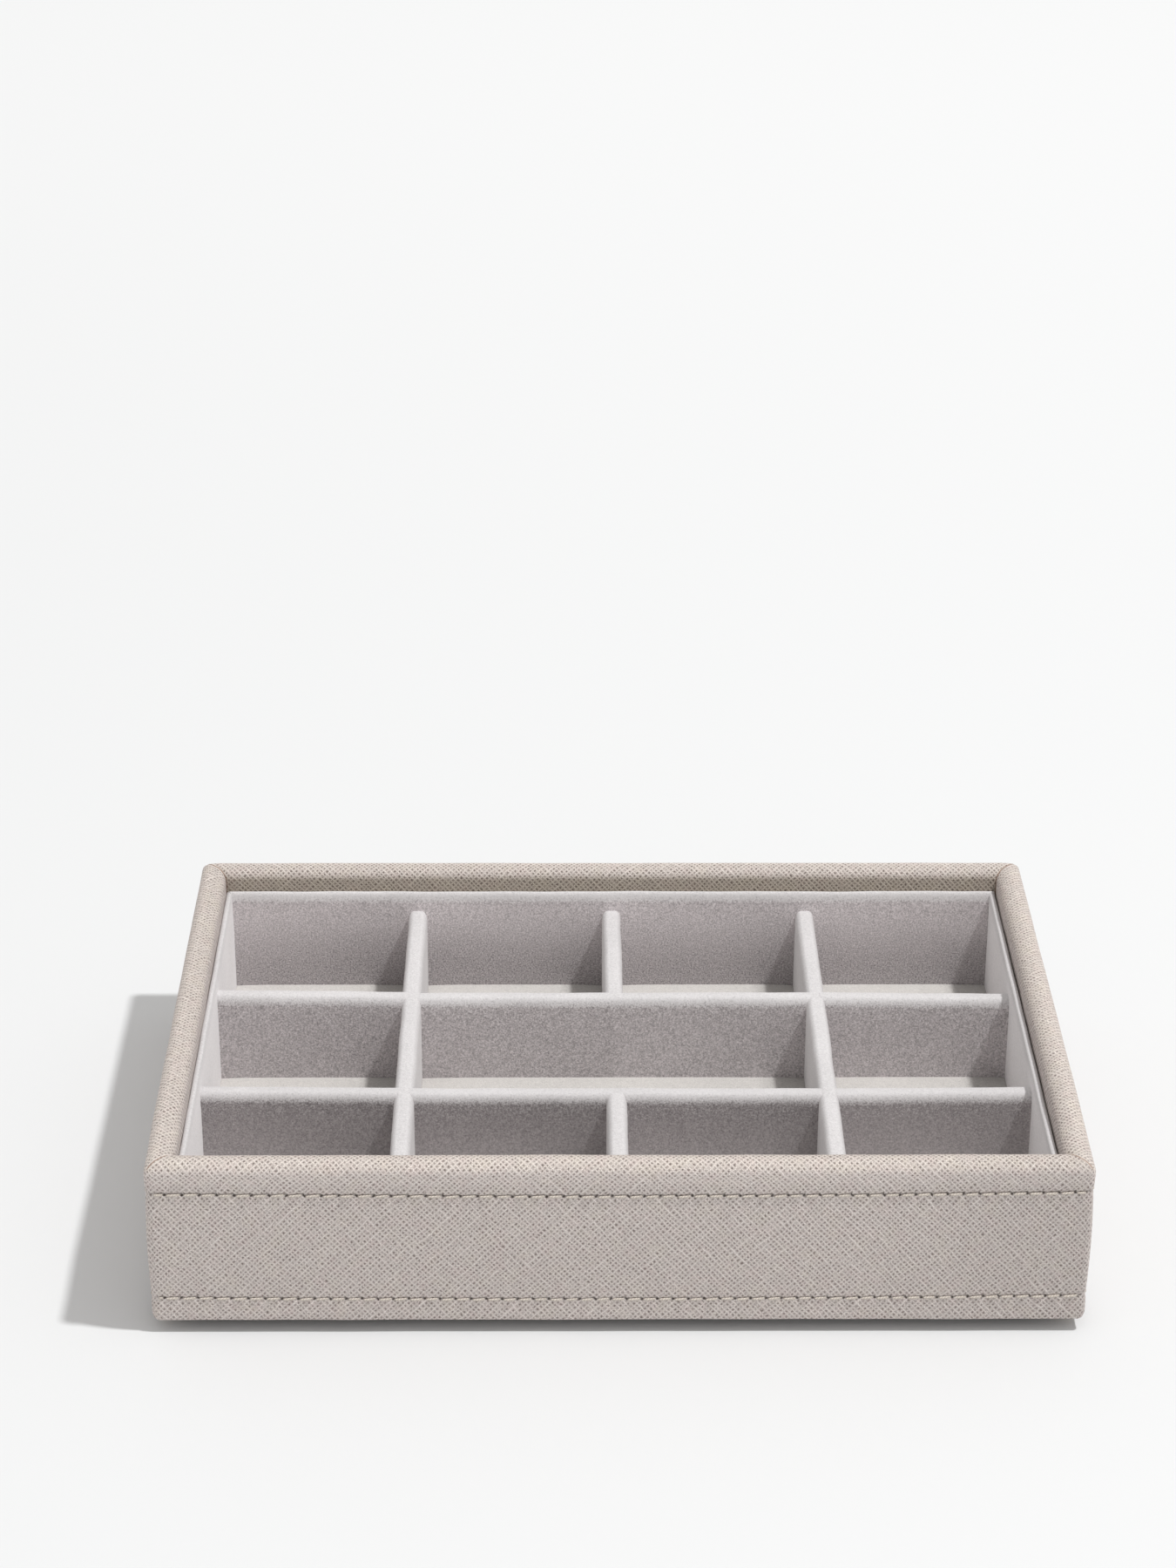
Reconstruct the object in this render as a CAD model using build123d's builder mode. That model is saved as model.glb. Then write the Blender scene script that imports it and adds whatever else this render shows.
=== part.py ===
from build123d import *
import os

# Jewelry tray: leather-covered board walls, a velvet-lined insert with eleven
# compartments, and a felt-covered plinth that nests in the rim of the tray below.
# Millimetres. +X right, +Y back, +Z up, origin under the middle of the plinth.

# Tray as a whole
tray_width = 180.0
tray_depth = 125.0
tray_height = 38.5
corner_radius = 1.3

# Covered walls
leather_thickness = 0.95
wall_board_thickness = 3.5
rim_radius = 2.4
lower_edge_radius = 0.6
hem_depth = 14.0

# Base board, held in a groove of the wall boards
base_board_thickness = 4.0
tongue_depth = 1.0
tongue_thickness = 1.6

# Plinth under the tray
plinth_height = 2.6
plinth_clearance = 0.4
plinth_corner_radius = 3.0
plinth_felt_thickness = 0.8

# Lining of the walls
lining_gap = 0.2
lining_drop = 5.0
lining_card_thickness = 0.6
lining_velvet_thickness = 0.6

# Floor pad
floor_board_thickness = 2.0
floor_velvet_thickness = 0.85

# Dividers: their places are shares of the lined width and depth
divider_core_thickness = 2.6
divider_velvet_thickness = 0.72
divider_top_radius = 1.2
divider_drop = 4.35
column_shares = (0.244, 0.5, 0.7555)
row_shares = (0.3133, 0.6634)
halving_share = 0.5

# Stitching in two rows round the outside
top_stitch_pitch = 3.14
bottom_stitch_pitch = 3.0
stitch_length = 2.6
thread_width = 0.6
thread_relief = 0.25
stitch_tilt = 5.0
stitch_end_margin = 1.3
top_stitch_drop = 7.1
bottom_stitch_rise = 5.6

# How far a cut runs past the face that it opens
overrun = 1.0

# Heights
board_bottom = plinth_height + leather_thickness
board_top = tray_height - leather_thickness
base_top = board_bottom + base_board_thickness
floor_board_top = base_top + floor_board_thickness
floor_top = floor_board_top + floor_velvet_thickness
lining_top = tray_height - lining_drop
divider_top = lining_top - divider_drop
halving_level = floor_top + (divider_top - floor_top) * halving_share

# Depths inward from the outer face
board_inner = leather_thickness + wall_board_thickness
wall_thickness = board_inner + leather_thickness
lining_outer = wall_thickness + lining_gap
lining_thickness = lining_card_thickness + lining_velvet_thickness
lining_inner = lining_outer + lining_thickness

# Inside of the lined tray, and the dividers in it
inner_width = tray_width - 2 * lining_inner
inner_depth = tray_depth - 2 * lining_inner
divider_thickness = divider_core_thickness + 2 * divider_velvet_thickness
divider_core_top = divider_top - divider_velvet_thickness
divider_core_radius = divider_top_radius - divider_velvet_thickness
column_places = [inner_width * (share - 1 / 2) for share in column_shares]
row_places = [inner_depth * (share - 1 / 2) for share in row_shares]

# Plinth board, smaller than the rim's recess by the clearance and its felt
plinth_inset = wall_thickness + plinth_clearance + plinth_felt_thickness
plinth_width = tray_width - 2 * plinth_inset
plinth_depth = tray_depth - 2 * plinth_inset

LOW_LEFT = (Align.MIN, Align.MIN)
LOW_MIDDLE = (Align.CENTER, Align.MIN)
STANDING = (Align.CENTER, Align.CENTER, Align.MIN)
HANGING = (Align.CENTER, Align.CENTER, Align.MAX)

# Each side's wall: where its outer face stands, the way in, the way along, its length
SIDES = {
    "front": ((0, -tray_depth / 2, 0), (0, 1, 0), (1, 0, 0), tray_width),
    "back": ((0, tray_depth / 2, 0), (0, -1, 0), (-1, 0, 0), tray_width),
    "left": ((-tray_width / 2, 0, 0), (1, 0, 0), (0, -1, 0), tray_depth),
    "right": ((tray_width / 2, 0, 0), (-1, 0, 0), (0, 1, 0), tray_depth),
}


def finish(piece, name):
    """Label a finished piece and write it to its own STEP file."""
    piece.part.label = name
    export_step(piece.part, f"parts/{name}.step")


def section_plane(side):
    """Cross-section plane of a wall: x runs inward from the outer face, y upward."""
    face_point, inward, along, _ = SIDES[side]
    return Plane(origin=face_point, x_dir=inward, z_dir=along)


def mitre_planes(side):
    """The two upright planes through the outer corners that end a wall."""
    face_point, inward, along, length = SIDES[side]
    planes = []
    for end in (1, -1):
        corner = Vector(*face_point) + Vector(*along) * (end * length / 2)
        facing = Vector(*inward) * -1 - Vector(*along) * end
        planes.append(Plane(origin=corner, z_dir=facing))
    return planes


def wall_board_section():
    """Section of a wall board with its rounded top."""
    with BuildSketch(Plane.XY, mode=Mode.PRIVATE) as section:
        with Locations((leather_thickness, board_bottom)):
            Rectangle(wall_board_thickness, board_top - board_bottom, align=LOW_LEFT)
        fillet(section.vertices().group_by(Axis.Y)[-1], rim_radius - leather_thickness)
    return section.sketch


def divider_section(thickness, top, radius):
    """Section of a divider from the compartment floor up to its rounded top."""
    with BuildSketch(Plane.XY, mode=Mode.PRIVATE) as section:
        with Locations((0, floor_top)):
            Rectangle(thickness, top - floor_top, align=LOW_MIDDLE)
        fillet(section.vertices().group_by(Axis.Y)[-1], radius)
    return section.sketch


def tongue_bottom():
    """Height of the underside of the base board's tongue."""
    return board_bottom + (base_board_thickness - tongue_thickness) / 2


# Wall board: mitred at both ends, grooved for the base board's tongue
def make_wall_board(side):
    with BuildPart() as board:
        with BuildSketch(section_plane(side)):
            add(wall_board_section())
            with Locations((board_inner - tongue_depth, tongue_bottom())):
                Rectangle(tongue_depth + overrun, tongue_thickness, align=LOW_LEFT, mode=Mode.SUBTRACT)
        extrude(amount=SIDES[side][-1] / 2, both=True)
        for plane in mitre_planes(side):
            split(bisect_by=plane, keep=Keep.TOP)
    finish(board, f"{side}_wall_board")


# Leather cover: under the board, up the outside, over the rim and down to a hem inside
def make_cover(side):
    hem_bottom = tray_height - hem_depth
    with BuildPart() as cover:
        with BuildSketch(section_plane(side)) as section:
            with Locations((0, plinth_height)):
                Rectangle(wall_thickness, tray_height - plinth_height, align=LOW_LEFT)
            fillet(section.vertices().group_by(Axis.Y)[-1], rim_radius)
            fillet(section.vertices().group_by(Axis.Y)[0].sort_by(Axis.X)[0], lower_edge_radius)
            add(wall_board_section(), mode=Mode.SUBTRACT)
            with Locations((board_inner, board_bottom)):
                Rectangle(wall_thickness, hem_bottom - board_bottom, align=LOW_LEFT, mode=Mode.SUBTRACT)
        extrude(amount=SIDES[side][-1] / 2, both=True)
        for plane in mitre_planes(side):
            split(bisect_by=plane, keep=Keep.TOP)
        with BuildSketch():
            RectangleRounded(tray_width, tray_depth, corner_radius)
        extrude(amount=tray_height, mode=Mode.INTERSECT)
    finish(cover, f"{side}_cover")


# Row of stitches standing proud of one outer face
def make_stitches(side, row, height, pitch):
    face_point, inward, along, length = SIDES[side]
    stitch_count = int((length - 2 * stitch_end_margin) / pitch)
    outer_face = Plane(origin=face_point, x_dir=along, z_dir=Vector(*inward) * -1)
    with BuildPart() as stitches:
        with BuildSketch(outer_face):
            with Locations((0, height)):
                with GridLocations(pitch, 0, stitch_count, 1):
                    SlotOverall(stitch_length, thread_width, rotation=stitch_tilt)
        extrude(amount=thread_relief)
    finish(stitches, f"{side}_{row}_stitches")


# Base board with a tongue on all four edges
def make_base_board():
    board_width = tray_width - 2 * board_inner
    board_depth = tray_depth - 2 * board_inner
    with BuildPart() as board:
        with Locations((0, 0, board_bottom)):
            Box(board_width, board_depth, base_board_thickness, align=STANDING)
        with Locations((0, 0, tongue_bottom())):
            Box(board_width + 2 * tongue_depth, board_depth + 2 * tongue_depth, tongue_thickness, align=STANDING)
    finish(board, "base_board")


# Plinth board and the felt that covers its underside and edges
def make_plinth():
    with BuildPart() as board:
        with BuildSketch(Plane.XY.offset(plinth_felt_thickness)):
            RectangleRounded(plinth_width, plinth_depth, plinth_corner_radius)
        extrude(amount=board_bottom - plinth_felt_thickness)
    finish(board, "plinth_board")

    with BuildPart() as felt:
        with BuildSketch():
            RectangleRounded(plinth_width, plinth_depth, plinth_corner_radius)
            offset(amount=plinth_felt_thickness)
        extrude(amount=board_bottom)
        add(board.part, mode=Mode.SUBTRACT)
    finish(felt, "plinth_felt")


# Lining of one wall: a card strip with velvet on its face and over its top edge
def make_lining(side):
    card_top = lining_top - lining_thickness / 2
    with BuildPart() as card:
        with BuildSketch(section_plane(side)):
            with Locations((lining_outer, base_top)):
                Rectangle(lining_card_thickness, card_top - base_top, align=LOW_LEFT)
        extrude(amount=SIDES[side][-1] / 2, both=True)
        for plane in mitre_planes(side):
            split(bisect_by=plane, keep=Keep.TOP)
    finish(card, f"{side}_lining_card")

    with BuildPart() as velvet:
        with BuildSketch(section_plane(side)):
            with Locations((lining_outer + lining_card_thickness, base_top)):
                Rectangle(lining_velvet_thickness, card_top - base_top, align=LOW_LEFT)
            with Locations((lining_outer + lining_thickness / 2, card_top)):
                Circle(lining_thickness / 2)
            with Locations((lining_outer, base_top)):
                Rectangle(lining_card_thickness, card_top - base_top, align=LOW_LEFT, mode=Mode.SUBTRACT)
        extrude(amount=SIDES[side][-1] / 2, both=True)
        for plane in mitre_planes(side):
            split(bisect_by=plane, keep=Keep.TOP)
    finish(velvet, f"{side}_lining_velvet")


# Floor pad on the base board, board below and velvet above
def make_floor():
    with BuildPart() as board:
        with Locations((0, 0, base_top)):
            Box(inner_width, inner_depth, floor_board_thickness, align=STANDING)
    finish(board, "floor_board")

    with BuildPart() as velvet:
        with Locations((0, 0, floor_board_top)):
            Box(inner_width, inner_depth, floor_velvet_thickness, align=STANDING)
    finish(velvet, "floor_velvet")


def divider_plane(direction, middle):
    """Cross-section plane of a divider that runs along X or along Y."""
    if direction == "x":
        return Plane(origin=middle, x_dir=(0, 1, 0), z_dir=(1, 0, 0))
    return Plane(origin=middle, x_dir=(1, 0, 0), z_dir=(0, -1, 0))


def cut_notches(crossings, notch_up):
    """Halve the divider being built where others cross it, from its top or from its foot."""
    notch_height = divider_top - halving_level if notch_up else halving_level - floor_top
    for x, y in crossings:
        with Locations((x, y, halving_level)):
            Box(
                divider_thickness,
                divider_thickness,
                notch_height + overrun,
                align=STANDING if notch_up else HANGING,
                mode=Mode.SUBTRACT,
            )


# Divider: a board core in a velvet sleeve, both notched where another divider crosses
def make_divider(name, direction, middle, length, crossings=(), notch_up=False):
    core = divider_section(divider_core_thickness, divider_core_top, divider_core_radius)
    plane = divider_plane(direction, middle)
    with BuildPart() as core_board:
        with BuildSketch(plane):
            add(core)
        extrude(amount=length / 2, both=True)
        cut_notches(crossings, notch_up)
    finish(core_board, f"{name}_core")

    with BuildPart() as sleeve:
        with BuildSketch(plane):
            add(divider_section(divider_thickness, divider_top, divider_top_radius))
            add(core, mode=Mode.SUBTRACT)
        extrude(amount=length / 2, both=True)
        cut_notches(crossings, notch_up)
    finish(sleeve, f"{name}_velvet")


# Long dividers run front to back over the cross dividers; short ones stand in the
# middle of the front and the rear row
def make_dividers():
    left_x, middle_x, right_x = column_places
    front_y, rear_y = row_places
    for name, x in (("left_long_divider", left_x), ("right_long_divider", right_x)):
        make_divider(name, "y", (x, 0, 0), inner_depth, [(x, y) for y in row_places])
    for name, y in (("front_cross_divider", front_y), ("rear_cross_divider", rear_y)):
        make_divider(name, "x", (0, y, 0), inner_width, [(x, y) for x in (left_x, right_x)], notch_up=True)
    front_length = front_y - divider_thickness / 2 + inner_depth / 2
    rear_length = inner_depth / 2 - rear_y - divider_thickness / 2
    make_divider("front_short_divider", "y", (middle_x, (front_length - inner_depth) / 2, 0), front_length)
    make_divider("rear_short_divider", "y", (middle_x, (inner_depth - rear_length) / 2, 0), rear_length)


os.makedirs("parts", exist_ok=True)
for side_name in SIDES:
    make_wall_board(side_name)
    make_cover(side_name)
    make_stitches(side_name, "top", tray_height - top_stitch_drop, top_stitch_pitch)
    make_stitches(side_name, "bottom", plinth_height + bottom_stitch_rise, bottom_stitch_pitch)
    make_lining(side_name)
make_base_board()
make_plinth()
make_floor()
make_dividers()

print("compartment columns at", [round(x, 2) for x in column_places])
print("compartment rows at", [round(y, 2) for y in row_places])
print("floor, divider top, lining top:", floor_top, round(divider_top, 2), lining_top)
print("lined inside:", round(inner_width, 2), "x", round(inner_depth, 2))
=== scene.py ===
import logging
import math
import random
from dataclasses import dataclass, field
from enum import Enum
from typing import Callable, Optional, Sequence, Union

import bpy
import numpy as np
from mathutils import Matrix, Vector


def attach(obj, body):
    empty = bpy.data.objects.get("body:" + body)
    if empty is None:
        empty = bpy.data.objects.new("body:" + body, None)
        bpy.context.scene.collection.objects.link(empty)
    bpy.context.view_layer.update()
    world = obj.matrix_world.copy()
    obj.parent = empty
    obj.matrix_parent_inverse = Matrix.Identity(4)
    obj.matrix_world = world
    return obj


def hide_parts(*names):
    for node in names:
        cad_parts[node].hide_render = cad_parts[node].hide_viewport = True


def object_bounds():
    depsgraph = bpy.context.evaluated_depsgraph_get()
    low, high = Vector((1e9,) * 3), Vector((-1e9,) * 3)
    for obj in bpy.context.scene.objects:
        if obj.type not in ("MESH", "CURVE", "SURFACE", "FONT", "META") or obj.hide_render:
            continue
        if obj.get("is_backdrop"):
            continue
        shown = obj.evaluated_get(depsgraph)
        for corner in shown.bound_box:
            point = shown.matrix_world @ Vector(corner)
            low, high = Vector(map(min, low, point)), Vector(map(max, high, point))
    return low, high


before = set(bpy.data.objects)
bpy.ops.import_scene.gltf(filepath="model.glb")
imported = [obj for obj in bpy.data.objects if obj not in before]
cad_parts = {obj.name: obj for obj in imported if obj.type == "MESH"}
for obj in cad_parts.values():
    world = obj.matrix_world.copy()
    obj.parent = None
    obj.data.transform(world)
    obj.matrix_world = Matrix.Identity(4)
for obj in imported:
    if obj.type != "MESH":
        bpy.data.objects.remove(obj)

Colour = tuple[float, float, float]
Pair = tuple[float, float]
Fade = tuple[float, ...]
Numbers = Sequence[float]
Piece = bpy.types.Object
Material = bpy.types.Material
Rows = np.ndarray
EdgeTest = Callable[[Rows, Rows], Rows]

# How near two places are taken as the same, in millimetres
NEAR = 0.01

log = logging.getLogger("tray")


class Side(Enum):
    """The four walls. The value is the turn that carries a wall modelled at the front to its side."""

    FRONT = 0
    RIGHT = 90
    BACK = 180
    LEFT = 270

    @property
    def label(self) -> str:
        """The side's name in the record's nodes."""
        return self.name.lower()


@dataclass(frozen=True)
class TrayPlan:
    """Sizes shared by all sub-assemblies, in millimetres, as the source of the part has them."""

    width: float = 180.0
    depth: float = 125.0
    height: float = 38.5
    plinth: float = 2.6
    leather: float = 0.95
    wall_board: float = 3.5
    rim_radius: float = 2.4
    lower_radius: float = 0.6
    corner_radius: float = 1.3
    hem: float = 14.0
    lining_gap: float = 0.2
    lining: float = 1.2
    lining_drop: float = 5.0
    base_board: float = 4.0
    floor_board: float = 2.0
    floor_velvet: float = 0.85
    divider: float = 4.04
    divider_drop: float = 4.35
    divider_radius: float = 1.2
    column_shares: tuple[float, ...] = (0.244, 0.5, 0.7555)
    row_shares: tuple[float, ...] = (0.3133, 0.6634)

    @property
    def wall(self) -> float:
        """Thickness of a covered wall: a board between two layers of leather."""
        return self.wall_board + 2 * self.leather

    @property
    def lower_turn(self) -> float:
        """Height where the round lower edge ends."""
        return self.plinth + self.lower_radius

    @property
    def rim_turn(self) -> float:
        """Height where the round rim begins."""
        return self.height - self.rim_radius

    @property
    def lining_outer(self) -> float:
        """Depth of the lining's back."""
        return self.wall + self.lining_gap

    @property
    def lining_inner(self) -> float:
        """Depth of the lining's face."""
        return self.lining_outer + self.lining

    @property
    def lining_top(self) -> float:
        """Height of the lining."""
        return self.height - self.lining_drop

    @property
    def base_top(self) -> float:
        """Top of the base board."""
        return self.plinth + self.leather + self.base_board

    @property
    def floor_board_top(self) -> float:
        """Top of the board under the floor's velvet."""
        return self.base_top + self.floor_board

    @property
    def floor_top(self) -> float:
        """Top of the floor's velvet."""
        return self.floor_board_top + self.floor_velvet

    @property
    def divider_top(self) -> float:
        """Height of the dividers."""
        return self.lining_top - self.divider_drop

    @property
    def columns(self) -> list[float]:
        """Places from left to right: a lining, the long and short dividers, and a lining."""
        return self._places(self.width, self.column_shares)

    @property
    def rows(self) -> list[float]:
        """Places from front to back: a lining, the cross dividers and a lining."""
        return self._places(self.depth, self.row_shares)

    def _places(self, outer: float, shares: Numbers) -> list[float]:
        """Places between two linings, to a thousandth, from the outer size and the dividers' shares."""
        inside = outer - 2 * self.lining_inner
        return [round(inside * (share - 1 / 2), 3) for share in (0, *shares, 1)]

    def length(self, side: Side) -> float:
        """Outer length of a wall."""
        return self.width if side in (Side.FRONT, Side.BACK) else self.depth

    def reach(self, side: Side) -> float:
        """Distance from the middle of the tray to a wall's outer face."""
        return (self.depth if side in (Side.FRONT, Side.BACK) else self.width) / 2


PLAN = TrayPlan()


def arc(middle: Pair, radius: float, start: float, end: float, steps: int) -> list[Pair]:
    """Points on an arc in a wall's section, after its start and up to its end, from angles in degrees."""
    angles = [math.radians(start + (end - start) * k / steps) for k in range(1, steps + 1)]
    return [(middle[0] + radius * math.cos(a), middle[1] + radius * math.sin(a)) for a in angles]


def ladder(y: float, start: float, end: float, steps: int) -> list[Pair]:
    """Points up or down a section at one depth, after the start and up to the end."""
    return [(y, start + (end - start) * k / steps) for k in range(1, steps + 1)]


def ripple(seed: int, along: Rows, lengths: Numbers) -> Rows:
    """Handmade unevenness: a few waves with seeded phases.

    Args:
        seed: picks the phases.
        along: where to work it out.
        lengths: the waves' lengths.

    Returns:
        Values between -1 and 1.
    """
    dice = random.Random(seed)
    waves = [np.sin(2 * math.pi * along / length + dice.uniform(0, 2 * math.pi)) for length in lengths]
    return sum(waves) / len(lengths)


def ease(values: Rows) -> Rows:
    """Smooth step from 0 to 1."""
    clipped = np.clip(values, 0, 1)
    return clipped * clipped * (3 - 2 * clipped)


def hump(values: Rows, width: float) -> Rows:
    """Bell curve that is 1 at zero."""
    return np.exp(-((values / width) ** 2))


def between(ends: Pair, share: Rows) -> Rows:
    """Values that go evenly from one end to the other."""
    return ends[0] + (ends[1] - ends[0]) * share


def running(axis: int, length: float) -> EdgeTest:
    """A test for edges that run further than a length along an axis."""
    return lambda a, b: np.abs(a[:, axis] - b[:, axis]) > length


def upper(height: float) -> EdgeTest:
    """A test for edges with both ends at a height or above it."""
    return lambda a, b: np.minimum(a[:, 2], b[:, 2]) > height - NEAR


class Bench:
    """The workbench, where meshes are started, shaped and settled through operators. Work is in millimetres
    until a piece is settled."""

    @staticmethod
    def clear() -> None:
        """Leave edit mode and deselect everything."""
        if bpy.context.mode != "OBJECT":
            bpy.ops.object.mode_set(mode="OBJECT")
        bpy.ops.object.select_all(action="DESELECT")

    @classmethod
    def take(cls, piece: Piece, mode: str = "OBJECT") -> None:
        """Make a piece the only one selected, and the active one.

        Args:
            piece: the piece.
            mode: the mode to go to. In edit mode everything is selected.
        """
        cls.clear()
        piece.select_set(True)
        bpy.context.view_layer.objects.active = piece
        if mode == "EDIT":
            bpy.ops.object.mode_set(mode=mode)
            bpy.ops.mesh.select_all(action="SELECT")

    @classmethod
    def start(cls, name: str, primitive: Callable, scale: Numbers, **settings: object) -> Piece:
        """Start a piece from a primitive.

        Args:
            name: the piece's name.
            primitive: the operator that adds it.
            scale: factors along its X, Y and Z, applied to the mesh.
            settings: the operator's own settings.

        Returns:
            The piece.
        """
        cls.clear()
        primitive(**settings)
        piece = bpy.context.active_object
        piece.name = piece.data.name = name
        piece.scale = scale
        bpy.ops.object.transform_apply(location=True, rotation=True, scale=True)
        return piece

    @classmethod
    def block(cls, name: str, size: Numbers, place: Numbers) -> Piece:
        """Start a piece from a cube, given its size and middle."""
        return cls.start(name, bpy.ops.mesh.primitive_cube_add, size, size=1, location=place)

    @staticmethod
    def points(piece: Piece) -> Rows:
        """Read a piece's vertices.

        Args:
            piece: the piece.

        Returns:
            An array with one row for each vertex.
        """
        flat = np.zeros(len(piece.data.vertices) * 3)
        piece.data.vertices.foreach_get("co", flat)
        return flat.reshape(-1, 3)

    @staticmethod
    def put_points(piece: Piece, points: Rows) -> None:
        """Move the piece's vertices to the rows of an array."""
        piece.data.vertices.foreach_set("co", points.ravel())
        piece.data.update()

    @classmethod
    def fold(cls, piece: Piece, edge: Callable[[Rows], Rows], path: Sequence[Pair]) -> None:
        """Turn a strip's faces over and extrude one of its edges along a path.

        Args:
            piece: the strip.
            edge: says for each vertex whether it is on that edge.
            path: points in Y and Z, the first of which the edge is already at.
        """
        cls.take(piece, "EDIT")
        bpy.ops.mesh.flip_normals()
        cls.take(piece)
        for parts in (piece.data.polygons, piece.data.edges):
            parts.foreach_set("select", np.zeros(len(parts), bool))
        piece.data.vertices.foreach_set("select", edge(cls.points(piece)))
        bpy.ops.object.mode_set(mode="EDIT")
        bpy.ops.mesh.select_mode(type="VERT")
        for (y, z), (next_y, next_z) in zip(path, path[1:]):
            bpy.ops.mesh.extrude_region_move(TRANSFORM_OT_translate={"value": (0, next_y - y, next_z - z)})
        cls.clear()

    @classmethod
    def pick_edges(cls, piece: Piece, chosen: EdgeTest) -> None:
        """Go to edit mode with the edges selected that a test on their two ends picks out.

        Args:
            piece: the piece to edit.
            chosen: takes the arrays of first and second ends and says yes or no for each edge.
        """
        cls.take(piece)
        places = cls.points(piece)
        ends = np.zeros(len(piece.data.edges) * 2, int)
        piece.data.edges.foreach_get("vertices", ends)
        ends = ends.reshape(-1, 2)
        mask = chosen(places[ends[:, 0]], places[ends[:, 1]])
        touched = np.zeros(len(places), bool)
        touched[ends[mask].ravel()] = True
        bpy.ops.object.mode_set(mode="EDIT")
        bpy.ops.mesh.select_mode(type="EDGE")
        bpy.ops.mesh.select_all(action="DESELECT")
        bpy.ops.object.mode_set(mode="OBJECT")
        piece.data.vertices.foreach_set("select", touched)
        piece.data.edges.foreach_set("select", mask)
        bpy.ops.object.mode_set(mode="EDIT")

    @classmethod
    def round_off(cls, piece: Piece, chosen: EdgeTest, radius: float, steps: int) -> None:
        """Round some edges over.

        Args:
            piece: the piece.
            chosen: the test for those edges.
            radius: how far to round them.
            steps: faces round the curve.
        """
        cls.pick_edges(piece, chosen)
        bpy.ops.mesh.bevel(offset=radius, offset_type="OFFSET", segments=steps, profile=0.5, affect="EDGES")
        cls.clear()

    @classmethod
    def divide(cls, piece: Piece, chosen: EdgeTest, cuts: int) -> None:
        """Cut some edges into equal lengths.

        Args:
            piece: the piece.
            chosen: the test for those edges.
            cuts: how many cuts across each.
        """
        cls.pick_edges(piece, chosen)
        bpy.ops.mesh.subdivide(number_cuts=cuts)
        cls.clear()

    @classmethod
    def slice(cls, piece: Piece, place: Numbers, normal: Numbers, clear: bool = False) -> None:
        """Bisect a piece by a plane.

        Args:
            piece: the piece to cut.
            place: a point of the plane.
            normal: the plane's direction.
            clear: take away what lies on the normal's side.
        """
        cls.take(piece, "EDIT")
        bpy.ops.mesh.bisect(plane_co=place, plane_no=normal, clear_outer=clear)
        cls.clear()

    @classmethod
    def modify(cls, piece: Piece, kind: str, **settings: object) -> None:
        """Add a modifier and apply it.

        Args:
            piece: the piece.
            kind: the modifier's kind.
            settings: its settings.
        """
        cls.take(piece)
        modifier = piece.modifiers.new(kind.lower(), kind)
        for name, value in settings.items():
            setattr(modifier, name, value)
        bpy.ops.object.modifier_apply(modifier=modifier.name)

    @classmethod
    def settle(cls, piece: Piece, side: Side = Side.FRONT, reach: float = 0.0) -> None:
        """Turn a piece from the front to its side, take it to its place and to metres, all in its mesh.

        Args:
            piece: the piece, modelled in millimetres.
            side: the side it belongs to.
            reach: how far the side's outer face is from the middle.
        """
        turn = Matrix.Rotation(math.radians(side.value), 4, "Z")
        cls.take(piece)
        piece.matrix_world = Matrix.Scale(0.001, 4) @ turn @ Matrix.Translation((0, -reach, 0))
        bpy.ops.object.transform_apply(location=True, rotation=True, scale=True)

    @staticmethod
    def note(piece: Piece, name: str, values: Rows) -> None:
        """Store one number per vertex as an attribute that materials read."""
        layer = piece.data.attributes.new(name, "FLOAT", "POINT")
        layer.data.foreach_set("value", values.astype(np.float32))

    @staticmethod
    def unwrap(piece: Piece, across: Rows, along: Rows) -> None:
        """Give a piece a UV map.

        Args:
            piece: the piece.
            across: the map's first number for each vertex.
            along: its second number.
        """
        layer = piece.data.uv_layers.get("grain") or piece.data.uv_layers.new(name="grain")
        corners = np.zeros(len(piece.data.loops), int)
        piece.data.loops.foreach_get("vertex_index", corners)
        layer.data.foreach_set("uv", np.stack([across[corners], along[corners]], 1).ravel())
        piece.data.uv_layers.active = layer


class Wire:
    """A number, colour or place on its way through a material's nodes. Arithmetic on it adds Math nodes."""

    def __init__(self, desk: "Desk", socket: bpy.types.NodeSocket) -> None:
        """Hold a node's output and the desk that it belongs to."""
        self.desk = desk
        self.socket = socket

    def __add__(self, other: "Value") -> "Wire":
        """This and another together."""
        return self.desk.math("ADD", self, other)

    def __sub__(self, other: "Value") -> "Wire":
        """This less another."""
        return self.desk.math("SUBTRACT", self, other)

    def __rsub__(self, other: "Value") -> "Wire":
        """Another less this."""
        return self.desk.math("SUBTRACT", other, self)

    def __mul__(self, other: "Value") -> "Wire":
        """This times another."""
        return self.desk.math("MULTIPLY", self, other)

    def __pow__(self, power: float) -> "Wire":
        """This to a power."""
        return self.desk.math("POWER", self, power)

    def __abs__(self) -> "Wire":
        """This without its sign."""
        return self.desk.math("ABSOLUTE", self)


Value = Union[float, Colour, Wire]


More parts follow.
